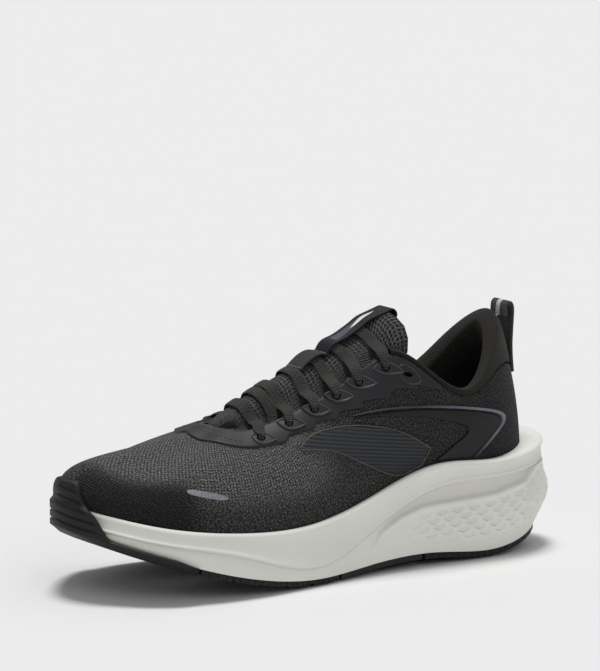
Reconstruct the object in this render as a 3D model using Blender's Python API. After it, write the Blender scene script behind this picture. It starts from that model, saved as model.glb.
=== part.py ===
"""A left running shoe, built from the separate pieces that a shoe factory assembles.

Frame: metres, +Z up. The toe points along -X and the outer (lateral) side faces -Y. The
origin is on the ground, under the centre of the shoe's box. Lengths below are millimetres.

The upper is one smooth surface between two closed loops: the feather edge, where it meets
the sole, and the topline, which runs round the throat and the collar. A place on it is
(k, v): k counts stations from the toe (0) along the lateral side to the heel (9) and back
along the medial side (18 is the toe again), and v goes from the feather edge (0) to the
topline (1). Most pieces are lofts on that surface, at a depth d in front of or behind it.
"""

import math

import bmesh
import bpy
import numpy as np
from mathutils import Vector

MM = 0.001
DATUM = np.array((3.134, 1.344, 0.071))  # drawing point that becomes the origin
GAP = 0.35  # air between neighbouring pieces
FOAM_GAP = 0.8  # air between the two foams

# ---------------------------------------------------------------- the upper's surface
HALF = 9  # stations from the toe to the heel
TURN = 2 * HALF
FEATHER_LATERAL = (
    (-137.5, 5, 42), (-126, -20, 39), (-102, -38, 33), (-66, -45, 26.5), (-22, -41, 25),
    (20, -35, 30), (60, -33, 37), (95, -33, 38), (122.5, -22.5, 39), (132.5, 0, 40),
)
FEATHER_MEDIAL = (
    (-123, 28, 39), (-101, 42, 33), (-72, 46, 27.5), (-28, 40, 27),
    (18, 31, 34), (58, 30.5, 38.5), (94, 32, 38.5), (122.5, 22.5, 39),
)
TOPLINE = (
    (-53, 0, 81.5), (-52, -7, 81), (-48, -12.5, 80.5), (-39, -17, 80.5), (-13, -19, 88.5),
    (16, -20.5, 102), (47, -24.3, 112), (80, -31.5, 90.5), (106.5, -22.5, 109), (119, 0, 124.5),
)
HEADING = (0, 12, 26, 45, 70, 84, 90, 94, 140, 180)  # way inwards at the topline, degrees from +X
PITCH = (15, 20, 18, 26, 42, 55, 64, 72, 64, 62)  # climb of the surface at the topline
REACH = (58, 52, 42, 30, 24, 20, 22, 14, 14, 16)  # how far that climb is felt
LIFT = (38, 30, 30, 33, 34, 36, 34, 22, 30, 32)  # height over which the wall leaves the sole
LEAN = (22, 20, 8, 6, 4, 3, 5, 8, 5, 3)  # its outward lean there, degrees

# ---------------------------------------------------------------- the sole, by station
RIM_Z = (47, 43.5, 37.5, 32.5, 31, 40, 52.5, 52, 55, 58)  # top of the foam, on the upper's wall
RIM_OUT = (2.6, 3.6, 5.5, 5.5, 5.5, 5.5, 6, 7.5, 11, 14)  # how far it stands out from the feather
PARTING_Z = (38.6, 35.8, 29.5, 21, 10, 24, 41, 43.7, 46, 49)  # seam of the two foams
PARTING_OUT = (2.9, 4.8, 7, 7.5, 7.5, 5, 5, 7, 10.5, 12.5)
BULGE_OUT = (2.7, 5, 8.2, 8.8, 8, 6, 6, 7.2, 12.5, 17.5)  # widest line of the lower foam
BOTTOM_Z = (34.5, 31, 22.3, 10.8, 4, 6, 7, 4.6, 10.5, 16)
BOTTOM_OUT = (0.6, 4, 8.2, 9, 8, 6, 5.5, 5.5, 7.5, 8.5)
# Height of the walking surface along the shoe: raised toe, rolling forefoot, low heel.
ROCKER_X = (-150, -136, -120, -102, -89, -74, -58, -38, -18, 5, 25, 45, 65, 85, 100, 115, 130, 150)
ROCKER_Z = (41, 31, 23.5, 17, 13, 8.6, 4.6, 1.2, 0, 0.6, 2.2, 2.6, 1.4, 0.1, 0, 1.6, 6.5, 18)
RUBBER = 3.2  # outsole thickness

# ---------------------------------------------------------------- lacing and tongue
EYELETS = ((3.247, 0.841), (3.775, 0.886), (4.269, 0.897), (4.719, 0.897), (5.151, 0.88), (5.651, 0.876))
SPARE_EYELET = (6.0, 0.815)
PATCH_DROP = (0.056, 0.069, 0.079, 0.088, 0.087, 0.045)  # how far each eyelet's patch leans
EYELET_RADIUS = 2.6
LACE_WIDTH, LACE_THICK = 6.4, 1.3
LACE_AT_HOLE = (2.7, 2.1)  # its width and thickness where it gathers in an eyelet
LACE_OUT, LACE_IN = 2.95, -3.3  # its middle, from the upper's surface, outside and inside
CREST_X = (-56, -50, -38, -27, -12, 2, 17, 32, 46, 53)  # the tongue's ridge
CREST_Z = (80, 83, 89, 94, 100.8, 106.3, 112.3, 119, 127, 131)
TONGUE_DEPTH = 5.7  # how far under the upper's surface the tongue's face lies
TONGUE_THICK = 3.4
TONGUE_SPLIT = 41.5  # ridge position where the padded top starts
TONGUE_HINGE = (42.6, 0, 102.1)
INSOLE_HINGE = (-124.0, 4.0, 39.0)

COLOURS = {
    "knit": (0.035, 0.037, 0.037), "film": (0.045, 0.045, 0.05), "rubber": (0.02, 0.02, 0.022),
    "foam": (0.72, 0.72, 0.68), "lining": (0.03, 0.03, 0.028), "lace": (0.03, 0.031, 0.03),
    "navy": (0.012, 0.016, 0.024), "grey": (0.3, 0.31, 0.34), "board": (0.45, 0.43, 0.38),
    "plastic": (0.05, 0.05, 0.055), "trim": (0.1, 0.12, 0.14),
}
ROUGHNESS = {"film": 0.45, "plastic": 0.35, "trim": 0.35, "rubber": 0.6}


# ================================================================ curves and surfaces
def periodic(values, k):
    """A smooth closed curve through values at whole k, as a periodic cubic spline."""
    values = np.asarray(values, float)
    n = len(values)
    around = np.roll(np.eye(n), 1, 0) + np.roll(np.eye(n), -1, 0)
    bend = np.linalg.solve(4 * np.eye(n) + around, 6 * (around @ values - 2 * values))
    k = np.mod(np.asarray(k, float), n)
    i = np.minimum(k.astype(int), n - 1)
    t = k - i
    j = (i + 1) % n
    if values.ndim > 1:
        t = t[..., None]
    straight = (1 - t) * values[i] + t * values[j]
    return straight + ((1 - t) ** 3 - (1 - t)) * bend[i] / 6 + (t**3 - t) * bend[j] / 6


def both_sides(half):
    """A list for stations 0 to 9, continued back along the medial side."""
    return np.array(list(half) + list(half[-2:0:-1]), float)


def by_station(half, k):
    return periodic(both_sides(half), k)


FEATHER = np.array(FEATHER_LATERAL + FEATHER_MEDIAL[::-1], float)


def plan_normal(k):
    """Outward unit normal, in plan, of the feather edge."""
    along = periodic(FEATHER, np.asarray(k) + 0.02) - periodic(FEATHER, np.asarray(k) - 0.02)
    normal = np.stack([along[..., 1], -along[..., 0], 0 * along[..., 0]], -1)
    return normal / np.linalg.norm(normal, axis=-1, keepdims=True)


def control_loops():
    """The four loops that shape the upper: feather, wall, shoulder and topline."""
    top = both_sides(TOPLINE)
    top[HALF + 1:, 1] *= -1
    heading = np.radians(both_sides(HEADING))
    heading[HALF + 1:] *= -1
    pitch = np.radians(both_sides(PITCH))
    lean = np.radians(both_sides(LEAN))[:, None]
    up = np.array([0, 0, 1.0])
    inward = np.stack([np.cos(pitch) * np.cos(heading), np.cos(pitch) * np.sin(heading), np.sin(pitch)], 1)
    out = plan_normal(np.arange(TURN))
    wall = FEATHER + both_sides(LIFT)[:, None] * (np.cos(lean) * up + np.sin(lean) * out)
    shoulder = top - both_sides(REACH)[:, None] * inward
    return FEATHER, wall, shoulder, top


LOOPS = control_loops()


def skin(k, v):
    """A point of the upper's outer surface."""
    k, v = np.broadcast_arrays(np.asarray(k, float), np.asarray(v, float))
    v = v[..., None]
    a, b, c, d = (periodic(loop, k) for loop in LOOPS)
    return (1 - v) ** 3 * a + 3 * v * (1 - v) ** 2 * b + 3 * v * v * (1 - v) * c + v**3 * d


def upper(k, v, d=0.0):
    """A point d outside the upper's surface, or inside it where d is negative."""
    k, v, d = np.broadcast_arrays(np.asarray(k, float), np.asarray(v, float), np.asarray(d, float))
    along = skin(k + 0.03, v) - skin(k - 0.03, v)
    climb = skin(k, v + 0.01) - skin(k, v - 0.01)
    normal = np.cross(along, climb)
    return skin(k, v) + d[..., None] * normal / np.linalg.norm(normal, axis=-1, keepdims=True)


def height_on_wall(k, z):
    """The v at which the wall reaches height z."""
    low, high = np.zeros_like(k), np.full_like(k, 0.6)
    for _ in range(30):
        middle = (low + high) / 2
        below = skin(k, middle)[..., 2] < z
        low, high = np.where(below, middle, low), np.where(below, high, middle)
    return low


def spine(k):
    """The middle line of the sole: halfway between the two sides' feather edges."""
    return (periodic(FEATHER, k) + periodic(FEATHER, TURN - np.asarray(k))) / 2


def sole(k, r, z, out=0.0):
    """A point of the sole: r from the spine (0) to the loop that lies out beyond the feather (1)."""
    k, r, z = np.broadcast_arrays(np.asarray(k, float), np.asarray(r, float), np.asarray(z, float))
    out = np.asarray(out)[..., None]
    edge = periodic(FEATHER, k) + out * plan_normal(k)
    middle = (edge + periodic(FEATHER, TURN - k) + out * plan_normal(TURN - k)) / 2
    point = middle + r[..., None] * (edge - middle)
    point[..., 2] = z
    return point


def rocker(x):
    """Height of the walking surface at x, smoothed between its listed heights."""
    x = np.asarray(x, float)
    spread = np.linspace(-7, 7, 9)
    return np.mean([np.interp(x + s, ROCKER_X, ROCKER_Z) for s in spread], axis=0)


def smooth_through(knots, values, x):
    """A natural cubic spline through (knots, values), read at x."""
    knots, values = np.asarray(knots, float), np.asarray(values, float)
    n, h = len(knots), np.diff(knots)
    a, b = np.eye(n), np.zeros((n,) + values.shape[1:])
    for i in range(1, n - 1):
        a[i, i - 1:i + 2] = h[i - 1], 2 * (h[i - 1] + h[i]), h[i]
        b[i] = 6 * ((values[i + 1] - values[i]) / h[i] - (values[i] - values[i - 1]) / h[i - 1])
    bend = np.linalg.solve(a, b)
    x = np.clip(np.asarray(x, float), knots[0], knots[-1])
    i = np.clip(np.searchsorted(knots, x) - 1, 0, n - 2)
    t, step = x - knots[i], h[i]
    if values.ndim > 1:
        t, step = t[..., None], step[..., None]
    s = step - t
    return (bend[i] * s**3 + bend[i + 1] * t**3) / (6 * step) + (
        values[i] / step - bend[i] * step / 6) * s + (values[i + 1] / step - bend[i + 1] * step / 6) * t


# ================================================================ making objects
for leftover in list(bpy.data.objects):
    bpy.data.objects.remove(leftover)


def collection(name):
    made = bpy.data.collections.new(name)
    bpy.context.scene.collection.children.link(made)
    return made


SHOE = collection("running_shoe")
CUTTERS = collection("cutters")


def material(name, finish):
    """A Principled material of the object's own, in the colour and roughness of its finish."""
    made = bpy.data.materials.new(f"{finish}_{name}")
    made.use_nodes = True
    shader = made.node_tree.nodes["Principled BSDF"]
    shader.inputs["Base Color"].default_value = (*COLOURS[finish], 1)
    shader.inputs["Roughness"].default_value = ROUGHNESS.get(finish, 0.85)
    shader.inputs["Metallic"].default_value = 0.0
    return made


def mesh_object(name, points, faces, finish, origin=(0, 0, 0), into=None):
    """One mesh object from millimetre points, with its origin at the given point."""
    mesh = bpy.data.meshes.new(name)
    local = (np.asarray(points, float).reshape(-1, 3) - np.asarray(origin, float)) * MM
    mesh.from_pydata([tuple(p) for p in local], [], faces)
    work = bmesh.new()
    work.from_mesh(mesh)
    bmesh.ops.remove_doubles(work, verts=work.verts, dist=2e-5)
    bmesh.ops.dissolve_degenerate(work, edges=work.edges, dist=1e-6)
    bmesh.ops.recalc_face_normals(work, faces=work.faces)
    if work.calc_volume(signed=True) < 0:
        bmesh.ops.reverse_faces(work, faces=work.faces)
    work.to_mesh(mesh)
    work.free()
    mesh.shade_smooth()
    mesh.set_sharp_from_angle(angle=math.radians(40))
    mesh.materials.append(material(name, finish))
    obj = bpy.data.objects.new(name, mesh)
    obj.location = Vector(np.asarray(origin, float) - DATUM) * MM
    (into or SHOE).objects.link(obj)
    return obj


def grid_faces(rows, columns, wrap_rows=False, wrap_columns=False, start=0):
    """Quads over a rows by columns grid of points."""
    faces = []
    for i in range(rows if wrap_rows else rows - 1):
        for j in range(columns if wrap_columns else columns - 1):
            i2, j2 = (i + 1) % rows, (j + 1) % columns
            quad = (i * columns + j, i2 * columns + j, i2 * columns + j2, i * columns + j2)
            faces.append(tuple(start + q for q in quad))
    return faces


def slab(name, outer, inner, finish, wrap=False, folded=False, **more):
    """A closed plate between two grids of points of one size; wrap joins its last row to its first.

    Where it is folded, its first column closes on itself along the spine and needs no edge wall.
    """
    rows, columns = outer.shape[:2]
    n = rows * columns
    faces = grid_faces(rows, columns, wrap) + [f[::-1] for f in grid_faces(rows, columns, wrap, start=n)]
    for j in (columns - 1,) if folded else (0, columns - 1):
        for i in range(rows if wrap else rows - 1):
            a, b = i * columns + j, ((i + 1) % rows) * columns + j
            quad = (a, b, b + n, a + n)
            faces.append(quad[::-1] if j == 0 else quad)
    if not wrap:
        for i in (0, rows - 1):
            for j in range(columns - 1):
                a, b = i * columns + j, i * columns + j + 1
                quad = (a, a + n, b + n, b)
                faces.append(quad[::-1] if i == 0 else quad)
    points = np.concatenate([outer.reshape(-1, 3), inner.reshape(-1, 3)])
    return mesh_object(name, points, faces, finish, **more)


def sweep(name, sections, finish, closed=False, **more):
    """A solid through a row of closed sections, capped at both ends or joined last to first."""
    rows, columns = sections.shape[:2]
    faces = grid_faces(rows, columns, closed, True)
    if not closed:
        faces.append(tuple(range(columns)))
        faces.append(tuple((rows - 1) * columns + j for j in reversed(range(columns))))
    return mesh_object(name, sections.reshape(-1, 3), faces, finish, **more)


def cut(obj, cutter):
    boolean = obj.modifiers.new("cut_" + cutter.name, "BOOLEAN")
    boolean.operation = "DIFFERENCE"
    boolean.object = cutter
    boolean.solver = "EXACT"


# ================================================================ the sole
EVEN = np.arange(0, TURN, TURN / 54)
AROUND = EVEN - 0.55 * HALF / (2 * math.pi) * np.sin(2 * math.pi * EVEN / HALF)  # closer at the tips


def fullness(k):
    """0 at the sole's two tips, 1 where it is wide: it fades what happens away from the edge."""
    width = np.abs(periodic(FEATHER[:, 1], k) - periodic(FEATHER[:, 1], TURN - k))
    return np.clip(width / 30, 0, 1)


def footbed(k, r, drop=0.0):
    """The cavity's floor: level with the feather edge, a little hollow along the spine."""
    edge = periodic(FEATHER[:, 2], k)
    level = (edge + periodic(FEATHER[:, 2], TURN - k)) / 2
    return level + (edge - level) * r**2 - fullness(k) * (1 - r**2) - drop


def column(k, *rows):
    return np.stack([np.broadcast_to(row, k.shape + (3,)) for row in rows], 1)


def midsole_carrier():
    """The firmer upper foam: a tray with a rim that the upper sits in."""
    k = AROUND
    rim_z = by_station(RIM_Z, k)
    rim_v = height_on_wall(k, rim_z)
    seam_z, seam_out = by_station(PARTING_Z, k) + FOAM_GAP / 2, by_station(PARTING_OUT, k)
    rim_out = by_station(RIM_OUT, k)
    clear = 1.6 + GAP
    top = [sole(k, r, footbed(k, r, clear)) for r in (0, 0.45, 0.85)]
    corner = upper(k, 0.0, GAP) - np.array([0, 0, clear])
    wall = [upper(k, rim_v * share, GAP) for share in (0.0, 0.5, 1.0)]
    crest = sole(k, 1, rim_z + 0.6, rim_out * 0.55)
    outside = [
        sole(k, 1, rim_z - 1.2, rim_out),
        sole(k, 1, (rim_z * 0.55 + seam_z * 0.45), rim_out * 0.55 + seam_out * 0.45 + 0.4),
        sole(k, 1, seam_z, seam_out),
    ]
    floor = [seam_point(k, r, FOAM_GAP / 2) for r in (0.88, 0.75, 0.4, 0)]
    rows = column(k, *floor[::-1], *outside[::-1], crest, *wall[::-1], corner, *top[::-1])
    return open_sheet("midsole_carrier", rows, "foam")


def seam_point(k, r, lift):
    """The foams' seam inside the sole, flattening towards the middle."""
    edge = by_station(PARTING_Z, k)
    bed = footbed(k, np.zeros_like(k), 1.6 + GAP)
    low = rocker(spine(k)[:, 0]) + RUBBER + GAP
    middle = np.clip(edge, low + 0.35 * (bed - low), low + 0.55 * (bed - low))
    height = edge + (middle - edge) * (1 - r**5) * fullness(k)
    return sole(k, r, height + lift, by_station(PARTING_OUT, k))


def open_sheet(name, rows, finish, **more):
    """A solid from a ring of rows that start and end on the spine, where the two sides join."""
    count, columns = rows.shape[:2]
    faces = grid_faces(count, columns, True)
    return mesh_object(name, rows.reshape(-1, 3), faces, finish, **more)


def bottom_height(k, r):
    """Underside of the foam: the rocker line inside, the listed edge heights at the sides."""
    x = sole(k, r, 0, by_station(BOTTOM_OUT, k))[..., 0]
    under = rocker(x) + RUBBER + GAP
    walked = rocker(sole(k, 1, 0, by_station(BOTTOM_OUT, k))[..., 0])
    edge = np.maximum(by_station(BOTTOM_Z, k), walked + RUBBER + GAP)
    return under + (edge - under) * r**6


def midsole_cushion():
    """The softer lower foam: it flares at the heel and rolls up at the toe."""
    k = AROUND
    seam_out, bulge_out, bottom_out = (by_station(x, k) for x in (PARTING_OUT, BULGE_OUT, BOTTOM_OUT))
    seam_z = by_station(PARTING_Z, k) - FOAM_GAP / 2
    bottom_z = bottom_height(k, np.ones_like(k))
    top = [seam_point(k, r, -FOAM_GAP / 2) for r in (0, 0.4, 0.75, 0.88)]
    side = [
        sole(k, 1, seam_z, seam_out),
        sole(k, 1, seam_z * 0.72 + bottom_z * 0.28, seam_out * 0.4 + bulge_out * 0.6),
        sole(k, 1, seam_z * 0.4 + bottom_z * 0.6, bulge_out),
        sole(k, 1, seam_z * 0.08 + bottom_z * 0.92, bottom_out * 0.8 + bulge_out * 0.2),
    ]
    shares = (0.97, 0.8, 0.55, 0.3, 0)
    under = [sole(k, r, bottom_height(k, np.full_like(k, r)), bottom_out) for r in shares]
    return open_sheet("midsole_cushion", column(k, *top, *side, *under), "foam")


def outsole_pad(name, k_from, k_to, r_from, finish="rubber", thick=RUBBER, steps=14):
    """A rubber pad under one side of the sole, with its outer edge turned up a little."""
    k = np.linspace(k_from, k_to, steps)
    out = by_station(BOTTOM_OUT, k)
    shares = np.linspace(r_from, 0.985, 5)
    top = [sole(k, r, bottom_height(k, np.full_like(k, r)) - GAP, out) for r in shares]
    bottom = []
    for r in shares:
        worn = 0.5 if r == shares[-1] else 0.0
        point = sole(k, r, 0, out)
        point[:, 2] = bottom_height(k, np.full_like(k, r)) - GAP - thick + worn
        bottom.append(point)
    return slab(name, np.stack(top, 1), np.stack(bottom, 1), finish)


def outsole_toe_wrap():
    """Rubber under the toe that turns up over the tip as a bumper."""
    k = np.linspace(-2.35, 2.35, 31)
    out = by_station(BOTTOM_OUT, k)
    tab = np.interp(np.abs(k - 0.02), (0.36, 0.44, 0.74, 1.0), (1.0, 0.62, 0.4, 0.0))
    bottom_z, rim_z = by_station(BOTTOM_Z, k), by_station(RIM_Z, k)
    top_z = bottom_z + 1.6 + tab * (59 - bottom_z)
    inner, outer = [], []
    for r in (0.0, 0.4, 0.8, 0.97):
        z = bottom_height(k, np.full_like(k, r)) - GAP
        inner.append(sole(k, r, z, out))
        outer.append(sole(k, r, z - RUBBER, out))
    widest = np.maximum(by_station(BULGE_OUT, k), by_station(PARTING_OUT, k)) + 0.8
    for share in (0.08, 0.3, 0.48, 0.64, 0.82, 1):
        z = bottom_z + share * (top_z - bottom_z)
        on_foam = sole(k, 1, z, widest + GAP)
        on_upper = upper(k, height_on_wall(k, z), GAP + 0.55)
        above = np.clip((z - rim_z - 0.8) / 3.0, 0, 1)[:, None]
        foot = on_foam + (on_upper - on_foam) * above
        inner.append(foot)
        outer.append(foot + plan_normal(k) * (2.2 - 0.5 * above))
    return slab("outsole_toe_wrap", np.stack(outer, 1), np.stack(inner, 1), "rubber", folded=True)


def tread_cutters():
    """Bars that cut the grooves between the treads across the sole."""
    made = []
    for x in (-74, -58, -41, -24, -7, 56, 70, 84, 98, 112):
        slope = float(rocker(x + 1) - rocker(x - 1)) / 2
        middle = Vector((x, 0, float(rocker(x)) + 0.3) - DATUM) * MM
        bpy.ops.mesh.primitive_cube_add(size=1, location=middle)
        bar = bpy.context.object
        bar.name = f"tread_groove_{len(made) + 1}"
        bar.data.name = bar.name
        bar.dimensions = (2.2 * MM, 130 * MM, 2.8 * MM)
        bar.rotation_euler = (0, -math.atan(slope), 0)
        for old in bar.users_collection:
            old.objects.unlink(bar)
        CUTTERS.objects.link(bar)
        bar.hide_render = True
        bar.display_type = "WIRE"
        made.append(bar)
    return made


def shank_plate():
    """The smooth stabilising plate under the arch, from side to side."""
    k = np.linspace(4.42, 5.78, 9)
    shares = np.linspace(-0.985, 0.985, 9)
    top = []
    for r in shares:
        station = k if r < 0 else TURN - k
        height = bottom_height(station, np.full_like(k, abs(r)))
        top.append(sole(station, abs(r), height - GAP, by_station(BOTTOM_OUT, station)))
    top = np.stack(top, 1)
    return slab("shank_plate", top, top - (0, 0, 2.6), "plastic")


# ================================================================ inside the shoe
def inner_clearance(k):
    """How far the insole's edge stays inside the feather edge."""
    heel = np.clip((np.abs(np.mod(k, TURN) - HALF) - 3.2) / 1.2, 0, 1)
    return 5.4 - 1.0 * heel


def strobel_board():
    k = AROUND
    shares = (0, 0.5, 1)
    out = -(1.6 + GAP + 0.4) * np.ones_like(k)
    low = [sole(k, r, footbed(k, np.full_like(k, r), 1.1), out) for r in shares]
    high = [sole(k, r, footbed(k, np.full_like(k, r), -0.3), out) for r in reversed(shares)]
    return open_sheet("strobel_board", column(k, *low, *high), "board")


def insole():
    """The removable sockliner, cupped round the heel and the arch."""
    k = AROUND
    cup = 5.0 * np.exp(-(((np.abs(np.mod(k, TURN) - HALF)) / 3.0) ** 2)) + 1.0
    out = -inner_clearance(k)
    under = [sole(k, r, footbed(k, np.full_like(k, r), -0.3 - GAP), out) for r in (0, 0.5, 0.93)]
    rise = sole(k, 1, footbed(k, np.ones_like(k), -2.0) + cup * 0.6, out)
    lip = sole(k, 1, footbed(k, np.ones_like(k), -4.2) + cup, out - 0.8)
    over = [sole(k, r, footbed(k, np.full_like(k, r), -4.9), out - 2.6) for r in (1, 0.5, 0)]
    return open_sheet("insole", column(k, *under, rise, lip, *over), "lining", origin=INSOLE_HINGE)


def shell(name, k_from, k_to, v_from, v_to, outside, inside, finish, rows=28, columns=6):
    """A band of the upper's surface, k_from to k_to, between two depths."""
    k = np.linspace(k_from, k_to, rows)[:, None]
    low = v_from(k) if callable(v_from) else v_from
    high = v_to(k) if callable(v_to) else v_to
    v = low + (high - low) * np.linspace(0, 1, columns)[None, :]
    return slab(name, upper(k, v, outside), upper(k, v, inside), finish)


# ================================================================ the upper
MESH_TOP_K = (0, 5.7, 6.3, 6.7, 7.0, 7.5, 8.0, 8.5, 9.0)
MESH_TOP_V = (0.985, 0.985, 0.95, 0.93, 0.92, 0.88, 0.78, 0.62, 0.56)


def mesh_top(k):
    """Where the knit ends: at the topline round the throat, below the padded collar at the heel."""
    side = np.abs(np.mod(np.asarray(k) + HALF, TURN) - HALF)
    return np.minimum(smooth_through(MESH_TOP_K, MESH_TOP_V, side), MESH_TOP_V[0])


def upper_knit():
    k = np.arange(0, TURN, TURN / 62)[:, None]
    v = mesh_top(k) * np.linspace(0, 1, 8)[None, :]
    return slab("upper_knit", upper(k, v, 0.0), upper(k, v, -1.6), "knit", wrap=True)


def padded_collar():
    """Foam collar in its lining: it rolls over the knit's top edge and lines the heel inside."""
    k = np.linspace(5.82, TURN - 5.82, 41)
    from_end = np.minimum(k, TURN - k)
    grow = np.clip((from_end - 6.35) / 1.1, 0, 1)
    grow = grow * grow * (3 - 2 * grow)
    low = np.minimum(mesh_top(k) + 0.03, 0.995)
    ring = [
        (low, 0.0, 0.0), (low * 0.75 + 0.25, 0.5, 0.5), (low * 0.3 + 0.7, 0.7, 0.9), (1.0, 0.3, 0.3),
        (1.022, -1.2, -2.2), (1.02, -2.6, -5.2), (0.985, -3.6, -8.2), (0.9, -4.1, -9.6),
        (0.76, -4.1, -8.8), (0.6, -4.2, -6.2), (0.44, -4.3, -4.5), (0.1, -4.4, -4.4),
        (0.1, -3.5, -3.5), (0.45, -3.5, -3.5), (0.52, -2.2, -2.2), (low, -2.2, -2.2),
    ]
    sections = [upper(k, np.broadcast_to(v, k.shape), thin + (full - thin) * grow) for v, thin, full in ring]
    return sweep("padded_collar", np.stack(sections, 1), "lining")


EYESTAY_K = (0, 1.2, 2.0, 2.8, 3.3, 3.7, 4.18, 4.7, 5.1, 5.6, 6.0, 6.3, 6.6)
EYESTAY_V = (0.90, 0.874, 0.844, 0.795, 0.756, 0.755, 0.768, 0.735, 0.70, 0.675, 0.72, 0.775, 0.86)


def eyestay_film():
    """The film round the throat: its front bridge crosses the vamp and its arms carry the eyelets."""
    k = np.linspace(-6.6, 6.6, 57)[:, None]
    low = smooth_through(EYESTAY_K, EYESTAY_V, np.abs(k))
    high = np.minimum(0.985, mesh_top(k) - 0.02)
    v = low + (high - low) * np.linspace(0, 1, 4)[None, :]
    return slab("eyestay_film", upper(k, v, 1.15), upper(k, v, GAP), "film")


def eyelet_punches():
    """Round punches through the films and the knit, square to the surface."""
    ring = np.linspace(0, 2 * math.pi, 9)[:-1] + 0.2
    punches = []
    for side in (1, -1):
        for k, v in (*EYELETS, SPARE_EYELET):
            k = side * k
            middle = upper(k, v)
            out = upper(k, v, 1.0) - middle
            along = skin(k + 0.03, v) - skin(k - 0.03, v)
            along /= np.linalg.norm(along)
            across = np.cross(out, along)
            circle = EYELET_RADIUS * (np.cos(ring)[:, None] * along + np.sin(ring)[:, None] * across)
            sections = np.stack([middle + circle + out * depth for depth in (-3, 5)])
            name = f"punch_{'lateral' if side > 0 else 'medial'}_{len(punches) % 7 + 1}"
            punch = sweep(name, sections, "film", into=CUTTERS)
            punch.hide_render = True
            punch.display_type = "WIRE"
            punches.append(punch)
    return punches


def eyelet_patch(name, side, k, v, drop):
    """A raised, boat-shaped reinforcement round one eyelet; it drops towards the heel."""
    across = np.linspace(-1, 1, 9)[:, None]
    along = np.linspace(-1, 1, 3)[None, :]
    half = along * 0.053 * np.maximum(1 - np.abs(across) ** 1.9, 0.1)
    places = side * (k + 0.03 + 0.26 * across + 0.5 * half), v - 0.008 - drop * across + half
    return slab(name, upper(*places, 2.0), upper(*places, 1.15 + GAP), "film")


def side_view_place(x, z, side):
    """(k, v) of the surface point seen at (x, z) from that side, found by Newton's method."""
    x, z = np.asarray(x, float), np.asarray(z, float)
    k = np.interp(x, (-102, -66, -22, 20, 60, 95, 124), (2, 3, 4, 5, 6, 7, 8))
    v = np.full_like(x, 0.45)
    for _ in range(12):
        here = skin(side * k, v)
        dk = (skin(side * (k + 0.01), v) - here) / 0.01
        dv = (skin(side * k, v + 0.001) - here) / 0.001
        det = dk[..., 0] * dv[..., 2] - dk[..., 2] * dv[..., 0]
        ex, ez = x - here[..., 0], z - here[..., 2]
        k = np.clip(k + (ex * dv[..., 2] - ez * dv[..., 0]) / det, 0.5, 8.6)
        v = np.clip(v + (dk[..., 0] * ez - dk[..., 2] * ex) / det, 0.02, 1.0)
    return side * k, v


def side_panel(name, lower_edge, upper_edge, side, outside, inside, finish, rows=14, columns=4):
    """A film laid on the knit between two edges drawn in side view as (x, z) points."""
    share = np.linspace(0, 1, rows)
    low = smooth_through(np.linspace(0, 1, len(lower_edge)), np.array(lower_edge, float), share)
    high = smooth_through(np.linspace(0, 1, len(upper_edge)), np.array(upper_edge, float), share)
    t = np.linspace(0, 1, columns)[None, :, None]
    seen = low[:, None] + t * (high - low)[:, None]
    k, v = side_view_place(seen[..., 0], seen[..., 1], side)
    return slab(name, upper(k, v, outside), upper(k, v, inside), finish)


FIN_LOW = ((-21.3, 69.2), (-2.6, 66.9), (10.9, 61.2), (23.5, 55.1), (35, 50.2), (44, 50.2), (53.5, 53.4))
FIN_HIGH = ((-21.3, 70.2), (-14.5, 74.6), (-3, 77.4), (11, 78), (25, 76.4), (42, 71.6), (59, 61.8))
HEEL_LOW = (
    (14, 81.4), (31.6, 80.8), (50, 79.2), (69.8, 75.0),
    (81.5, 69.7), (76, 64.2), (67.5, 58.6), (61, 54.6),
)
HEEL_HIGH = (
    (14, 82.3), (31, 83.1), (52, 82.7), (81, 79.3),
    (104.2, 73.4), (100.6, 66.8), (92.2, 60.6), (84.6, 54.8),
)
TRIM_LOW = (
    (12.4, 82.2), (30, 83.6), (52, 83.2), (81, 79.8),
    (104.9, 73.8), (101.2, 66.5), (92.8, 60.2), (85.3, 54.7),
)
TRIM_HIGH = (
    (12.4, 83.2), (30, 85.1), (52, 84.8), (81, 81.5),
    (107.3, 74.9), (103, 65.8), (94.3, 59.4), (86.9, 54.4),
)


def toe_badge():
    """A plain pill-shaped reflective patch on the outer side of the toe."""
    t = np.linspace(-1, 1, 13)[:, None]
    half = 0.026 * np.sqrt(np.maximum(1 - np.abs(t) ** 5, 0.06))
    k = 2.465 + 0.34 * t
    v = 0.327 - 0.024 * t + half * np.linspace(-1, 1, 4)[None, :]
    return slab("toe_badge", upper(k, v, 0.9), upper(k, v, GAP), "grey")


def pull_tab():
    """A webbing loop, sewn to the back of the heel and over the top of the collar."""
    path_x = (131.2, 130.5, 130.2, 130.5, 130.9, 131.0, 129.6, 127.3, 125.6, 125.1, 125.0)
    path_z = (91, 98.5, 106, 113, 119.5, 125.2, 128.4, 128.9, 127.4, 124.4, 121)
    share = np.linspace(0, 1, len(path_x))
    fine = np.linspace(0, 1, 25)
    line = smooth_through(share, np.stack([path_x, path_z], 1), fine)
    along = np.gradient(line, axis=0)
    along /= np.linalg.norm(along, axis=1, keepdims=True)
    outward = np.stack([along[:, 1], -along[:, 0]], 1)
    sections = []
    for depth, y in ((0, -7), (0, 7), (-1.7, 7), (-1.7, -7)):
        edge = line + depth * outward
        sections.append(np.stack([edge[:, 0], np.full(len(fine), y), edge[:, 1]], 1))
    return sweep("pull_tab", np.stack(sections, 1), "trim")


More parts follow.
